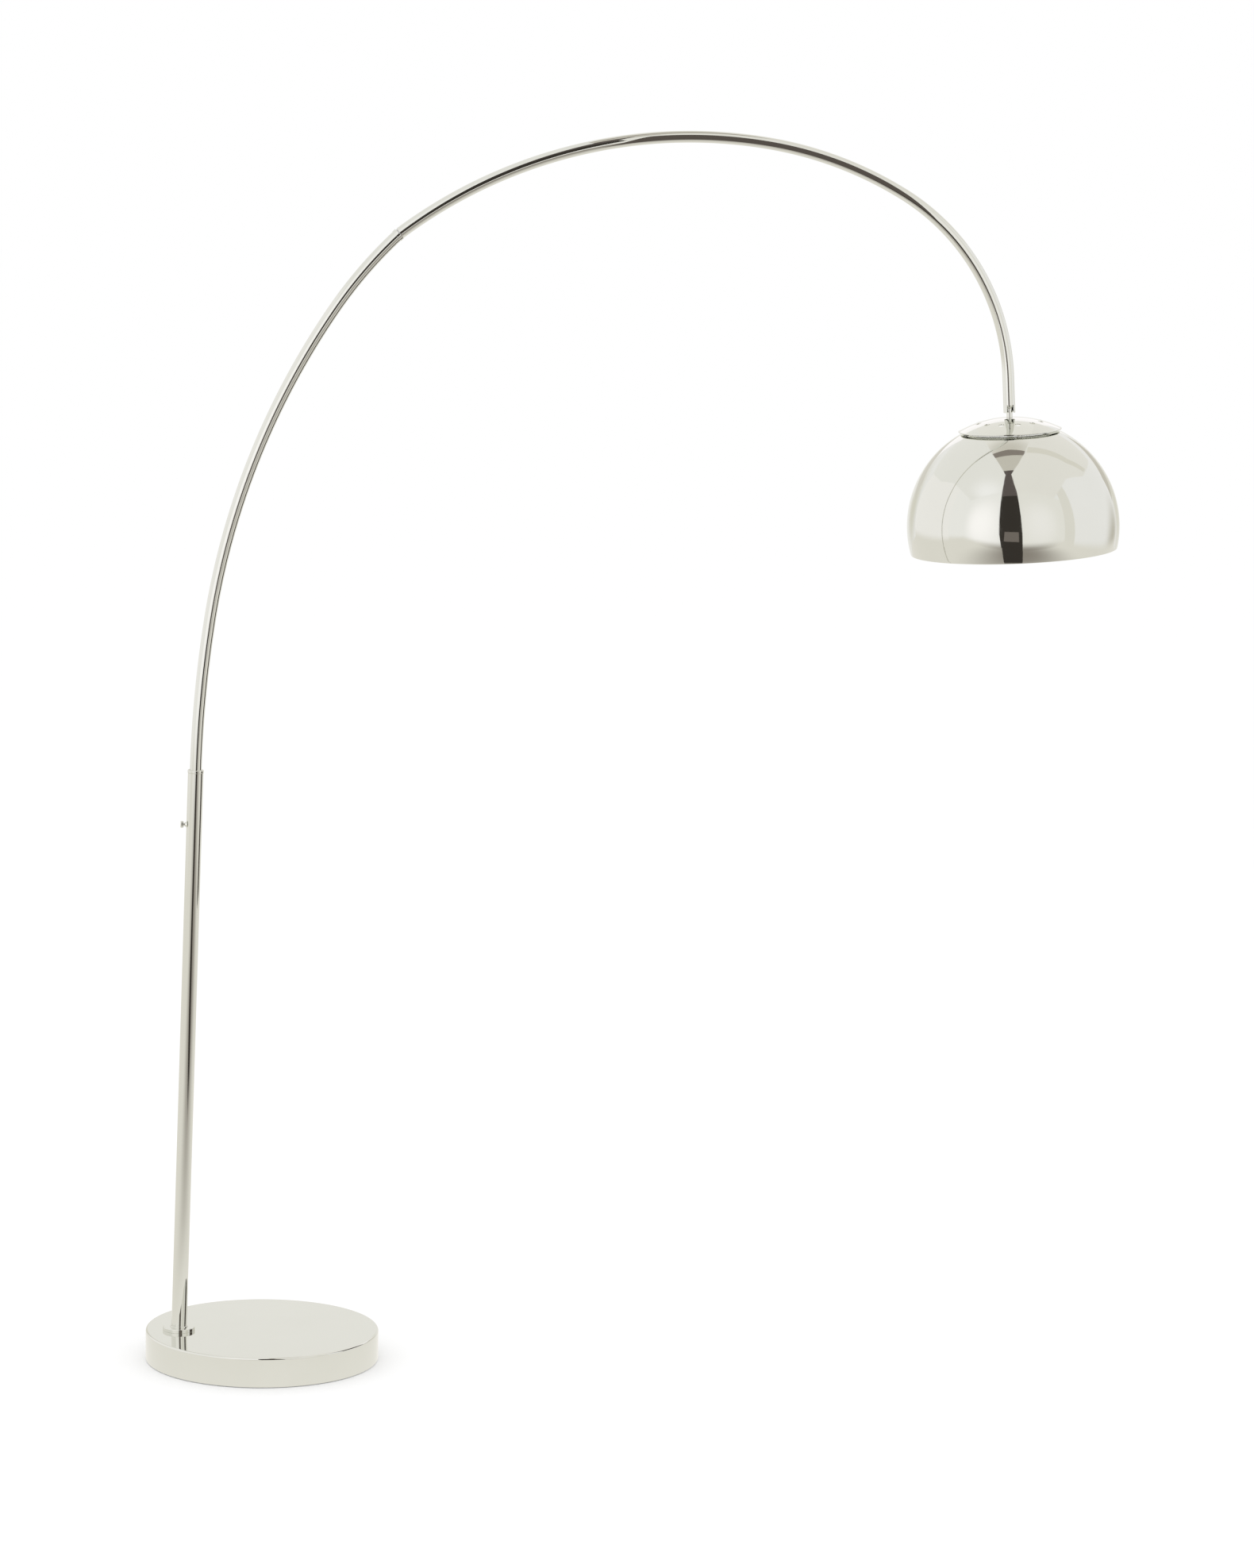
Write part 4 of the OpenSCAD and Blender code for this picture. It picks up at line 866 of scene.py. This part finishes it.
def upright(name, finish, depth, *corners):
    """A card that faces the camera, through (x, y) corners at one depth."""
    card(name, finish, *[(x, y, depth) for x, y in corners])


def level(name, finish, height, *corners):
    """A level card through (x, z) corners."""
    card(name, finish, *[(x, height, z) for x, z in corners])


def side(name, finish, x, low, high, back, front):
    """A side wall's rectangle."""
    card(name, finish, (x, low, back), (x, low, front), (x, high, front), (x, high, back))


def rectangle(left, right, low, high):
    """Corners that go round a rectangle from its low left corner."""
    return (left, low), (right, low), (right, high), (left, high)


# %% [markdown]
# ## Sheets and walls
# Paper lit from behind is brightest in the middle, so the two big sheets glow in one shade
# with a soft bright spot each. Towards the hem they fade into the floor's shade, because a
# hard edge there would draw a line round the metal. The walls and the back are plain, with
# darker corners, and two rails break them up. Lamps could light the cards, but a card's own
# glow is the same in every view.

# %% Hang the sheets and the walls
WHITE, WARM, GREY = (1.02, 1.01, 1.02), (1.05, 1.04, 1.04), (0.90, 0.88, 0.83)
DARK, DIM, BRIGHT = (0.047, 0.041, 0.036), (0.13, 0.11, 0.105), (1.26, 1.23, 1.26)
LEFT, RIGHT, FRONT, BACK, TOP, WALL_TOP, HEM = -4.5, 5.8, 3.3, -6.0, 4.6, 5.9, 0.1
LEFT_SEAM, RIGHT_SEAM, RAILS = 1.15, 1.95, BACK + 0.1
BACK_LEFT, BACK_RIGHT, BACKDROP_FOOT = -0.9, 2.7, 2.6
SOFT, WALL_FADE, CORNER = (0.1, 0.8), (-0.1, 0.7), (0.80, 0.78, 0.70)

left_sheet = glow("left_sheet", WARM, [(-1.75, 1.9, FRONT, 3.2, BRIGHT)], SOFT)
upright("left_sheet", left_sheet, FRONT, (LEFT, HEM), (0.22, HEM), (0.05, 1.2), (0, 2.4), (-0.06, TOP),
        (LEFT, TOP))
right_sheet = glow("right_sheet", (0.98, 0.965, 0.935), [(2.9, 2.0, FRONT, 2.6, (1.07, 1.05, 1.05))], SOFT)
upright("right_sheet", right_sheet, FRONT, (1.63, HEM), (RIGHT, HEM), (RIGHT, TOP), (1.17, TOP),
        (1.30, 3.55), (1.44, 2.4), (1.56, 1.25))
side("left_wing", glow("left_wing", WARM, (), SOFT), LEFT, HEM, WALL_TOP, LEFT_SEAM, FRONT)
side("right_wing", glow("right_wing", GREY, (), SOFT), RIGHT, HEM, WALL_TOP, RIGHT_SEAM, FRONT)

left_wall = glow("left_wall", (1.07, 1.05, 1.05), (), WALL_FADE)
side("left_wall", left_wall, LEFT, 0, WALL_TOP, BACK, LEFT_SEAM)
right_wall = glow("right_wall", WHITE, [(RIGHT, 0.3, -4.4, 2.8, (0.64, 0.61, 0.54))], WALL_FADE)
side("right_wall", right_wall, RIGHT, 0, WALL_TOP, BACK, RIGHT_SEAM)

left_corner = glow("left_corner", WHITE, [(-2.3, 1.5, BACK, 3.0, CORNER)])
upright("left_corner", left_corner, BACK, *rectangle(LEFT, BACK_LEFT, 0, WALL_TOP))
right_corner = glow("right_corner", WHITE, [(4.2, 1.5, BACK, 3.0, CORNER)])
upright("right_corner", right_corner, BACK, *rectangle(BACK_RIGHT, RIGHT, 0, WALL_TOP))
backdrop = glow("backdrop", (1.20, 1.17, 1.20))
upright("backdrop", backdrop, BACK, *rectangle(BACK_LEFT, BACK_RIGHT, BACKDROP_FOOT, TOP))
back = glow("back", (0.94, 0.93, 0.90))
upright("back", back, BACK, *rectangle(BACK_LEFT, BACK_RIGHT, 0, BACKDROP_FOOT))

right_rail = glow("right_rail", (0.68, 0.65, 0.585))
upright("right_rail", right_rail, RAILS, (3.0, 2.2), (RIGHT, 1.9), (RIGHT, 3.1), (4.4, 3.4), (3.0, 3.3))
left_rail = glow("left_rail", (0.78, 0.755, 0.70))
upright("left_rail", left_rail, RAILS, (-2.4, 1.75), (0.6, 1.75), (0.6, 2.5), (-0.6, 2.9), (-2.4, 2.7))
print("sheets and walls hung")

# %% [markdown]
# ## Roof and gap
# The roof is two sheets of cloth with curved edges, and what lies above them shows through
# the opening: a paler far roof, a beam and the dark end towards the camera. The gap between the
# front sheets is closed by a dark board behind them, with a lighter chest in front of it. The
# floor in front of the gap mirrors it, so a dark patch lies there too.

# %% Hang the roof and what shows through the gaps
left_roof = glow("left_roof", (0.99, 0.98, 0.965), [(-1.3, TOP, 2.9, 2.4, (1.12, 1.11, 1.13))])
level("left_roof", left_roof, TOP, (-3.9, FRONT), (-0.06, FRONT), (0.28, 2.3), (0.54, 1.5), (0.36, 0.57),
      (0.19, -0.36), (0.05, -2.44), (0.0, BACK), (-6.5, BACK), (-4.9, -3.4), (-3.4, -0.2))
right_roof = glow("right_roof", (0.965, 0.945, 0.915))
level("right_roof", right_roof, TOP, (4.9, FRONT), (1.17, FRONT), (1.0, 2.38), (0.89, 1.5), (1.32, 0.65),
      (1.60, -0.15), (1.78, -1.08), (1.9, -1.8), (2.3, BACK), (7.3, BACK), (5.9, -1.75), (4.5, 0.5))
right_beam = glow("right_beam", (0.86, 0.835, 0.77))
level("right_beam", right_beam, TOP - 0.02, (1.7, -0.25), (3.9, -0.95), (5.6, -2.2), (5.6, -2.9),
      (3.9, -1.5), (1.75, -0.75))

BEHIND, ABOVE, CHEST = FRONT + 0.1, TOP + 0.1, FRONT + 0.07
GAP_LEFT, GAP_RIGHT, GAP_TOP = -0.6, 2.2, 4.2
upright("gap", glow("gap", DARK), BEHIND, (0.22, 0), (1.66, 0), (1.66, 0.2), (GAP_RIGHT, 0.2),
        (GAP_RIGHT, GAP_TOP), (GAP_LEFT, GAP_TOP), (GAP_LEFT, 0.2), (0.22, 0.2))
upright("gap_top", glow("gap_top", DIM), BEHIND, *rectangle(GAP_LEFT, GAP_RIGHT, GAP_TOP, 5.2))
gap_chest = glow("gap_chest", (0.20, 0.175, 0.16))
upright("gap_chest", gap_chest, CHEST, (0.36, 0.72), (1.36, 0.72), (1.32, 1.36), (0.40, 1.36))
level("roof_gap", glow("roof_gap", DIM), ABOVE, *rectangle(GAP_LEFT, GAP_RIGHT, BEHIND, 1.2))
opening = glow("opening", (0.69, 0.66, 0.60))
level("opening", opening, ABOVE, *rectangle(GAP_LEFT, GAP_RIGHT, 1.2, 0.0))
beam = glow("beam", (0.30, 0.265, 0.24))
level("beam", beam, ABOVE, (GAP_LEFT, 0.0), (GAP_RIGHT, 0.0), (GAP_RIGHT, -0.3), (0.9, -0.5),
      (GAP_LEFT, -0.3))
far_roof = glow("far_roof", (1.0, 0.98, 0.95), [(0.95, ABOVE, -0.6, 1.7, (0.73, 0.70, 0.64))])
level("far_roof", far_roof, ABOVE, (GAP_LEFT, -0.3), (0.9, -0.5), (GAP_RIGHT, -0.3), (2.8, BACK),
      (GAP_LEFT, BACK))
floor_gap = glow("floor_gap", DARK, [(1.0, 0, 0.9, 1.1, (0.62, 0.58, 0.53))])
level("floor_gap", floor_gap, 0.004, (0.24, BEHIND), (0.95, 1.1), (1.42, 1.1), (1.66, BEHIND))
print("roof and gap hung")

# %% [markdown]
# ## Near strips
# The gap alone leaves the arch's top and the pole's right without their dark lines, so two
# strips hang closer to the lamp. Each is clear from behind and turned so that, at rest, the
# side of the shade that the camera sees meets only its back. A mask on the shade's material
# would do the same, but it would be wrong in every other pose.

# %% Hang the near strips
def near(name, shade, *corners):
    """A card that shows only on the side from which its corners run anticlockwise."""
    card(name, glow(name, shade, one_sided=True), *corners)


near("arch_strip", (0.12, 0.102, 0.093), (0.60, 1.80, 0.03), (0.82, 2.72, 0.80), (1.62, 2.72, 0.80),
     (1.50, 2.37, 0.50), (1.08, 1.80, 0.03))
near("pole_strip", (0.10, 0.085, 0.075), (1.50, 0.42, -0.80), (1.50, 0.42, 0.08), (1.07, 1.12, -0.04),
     (1.07, 1.12, -0.80))
print("near strips hung")

# %% [markdown]
# ## Floor
# The floor is a big white sheet. A fifth of its white is its own glow, and the rest comes from
# the white sky and three weak lamps that fall on it, so the lamp keeps a soft shadow. The
# mirrors see a painted copy of it instead: painted light round the lamp's foot leaves it a
# little greyer far out, and painted shade makes it darker in front, where it faces the gap.

# %% Lay the floor
FLOOR_GLOW, FLOOR_REACH, FLOOR_SHADE = 0.2, 30, 0.8
floor_mesh = bmesh.new()
bmesh.ops.create_grid(floor_mesh, x_segments=1, y_segments=1, size=FLOOR_REACH)
flat = Matrix.Rotation(radians(-90), 3, "X")
bmesh.ops.rotate(floor_mesh, cent=(0, 0, 0), matrix=flat, verts=floor_mesh.verts[:])
floor_data = bpy.data.meshes.new("floor")
floor_mesh.to_mesh(floor_data)
floor_mesh.free()
floor = bpy.data.objects.new("floor", floor_data)
scene.collection.objects.link(floor)
floor.matrix_world = STUDIO

paper = bpy.data.materials.new("paper")
paper.use_nodes = True
tree = paper.node_tree
tree.nodes.clear()
output = tree.nodes.new("ShaderNodeOutputMaterial")
lit = tree.nodes.new("ShaderNodeBsdfDiffuse")
lit.inputs["Color"].default_value = (FLOOR_SHADE, FLOOR_SHADE, FLOOR_SHADE, 1)
own = tree.nodes.new("ShaderNodeEmission")
own.inputs["Strength"].default_value = FLOOR_GLOW
mirrored = tree.nodes.new("ShaderNodeEmission")
path = tree.nodes.new("ShaderNodeLightPath")
tree.links.new(mirrored.inputs["Color"], spotted(tree, FLOOR, FLOOR_LIGHT_AND_SHADE))
both = add_node(tree, "ShaderNodeAddShader", [(0, lit.outputs[0]), (1, own.outputs[0])])
seen = add_node(tree, "ShaderNodeMixShader", [(0, path.outputs["Is Glossy Ray"]), (1, both.outputs[0]),
                                              (2, mirrored.outputs[0])])
tree.links.new(output.inputs["Surface"], seen.outputs[0])
floor_data.materials.append(paper)
print("floor laid")

# %% [markdown]
# ## Sky and lamps
# The world is a plain white sky at full strength, so a painted surface renders about as its
# colour is written. Three large weak lamps only give it a little direction. They are hidden
# from mirrors, because the cards already are what a mirror shows.

# %% Light the studio
world = bpy.data.worlds.new("world")
scene.world = world
world.use_nodes = True
tree = world.node_tree
tree.nodes.clear()
output = tree.nodes.new("ShaderNodeOutputWorld")
air = tree.nodes.new("ShaderNodeBackground")
air.inputs["Color"].default_value = (1, 1, 1, 1)
tree.links.new(output.inputs["Surface"], air.outputs["Background"])


def soft_lamp(name, size, power, spot, aim):
    """A square lamp at a spot in the room, aimed at a place by the frame's axes. Mirrors miss it."""
    data = bpy.data.lights.new(name, "AREA")
    data.shape, data.size, data.energy = "SQUARE", size, power
    lamp = bpy.data.objects.new(name, data)
    scene.collection.objects.link(lamp)
    spot = STUDIO @ Vector(spot)
    turned = (Vector(aim) - spot).to_track_quat("-Z", "Y").to_matrix().to_4x4()
    lamp.matrix_world = Matrix.Translation(spot) @ turned
    lamp.visible_glossy = lamp.visible_camera = lamp.visible_transmission = False


soft_lamp("roof_light", 4.0, 16, (0.6, 5.0, 0.5), (0.5, 0, 0))
soft_lamp("left_light", 3.0, 9, (-3.5, 2.5, 3.5), (0.5, 0, 1.0))
soft_lamp("right_light", 3.0, 9, (4.5, 2.5, 3.0), (0.5, 0, 1.0))
print("studio lit")

# %% Set the view transform
scene.view_settings.view_transform = "Standard"
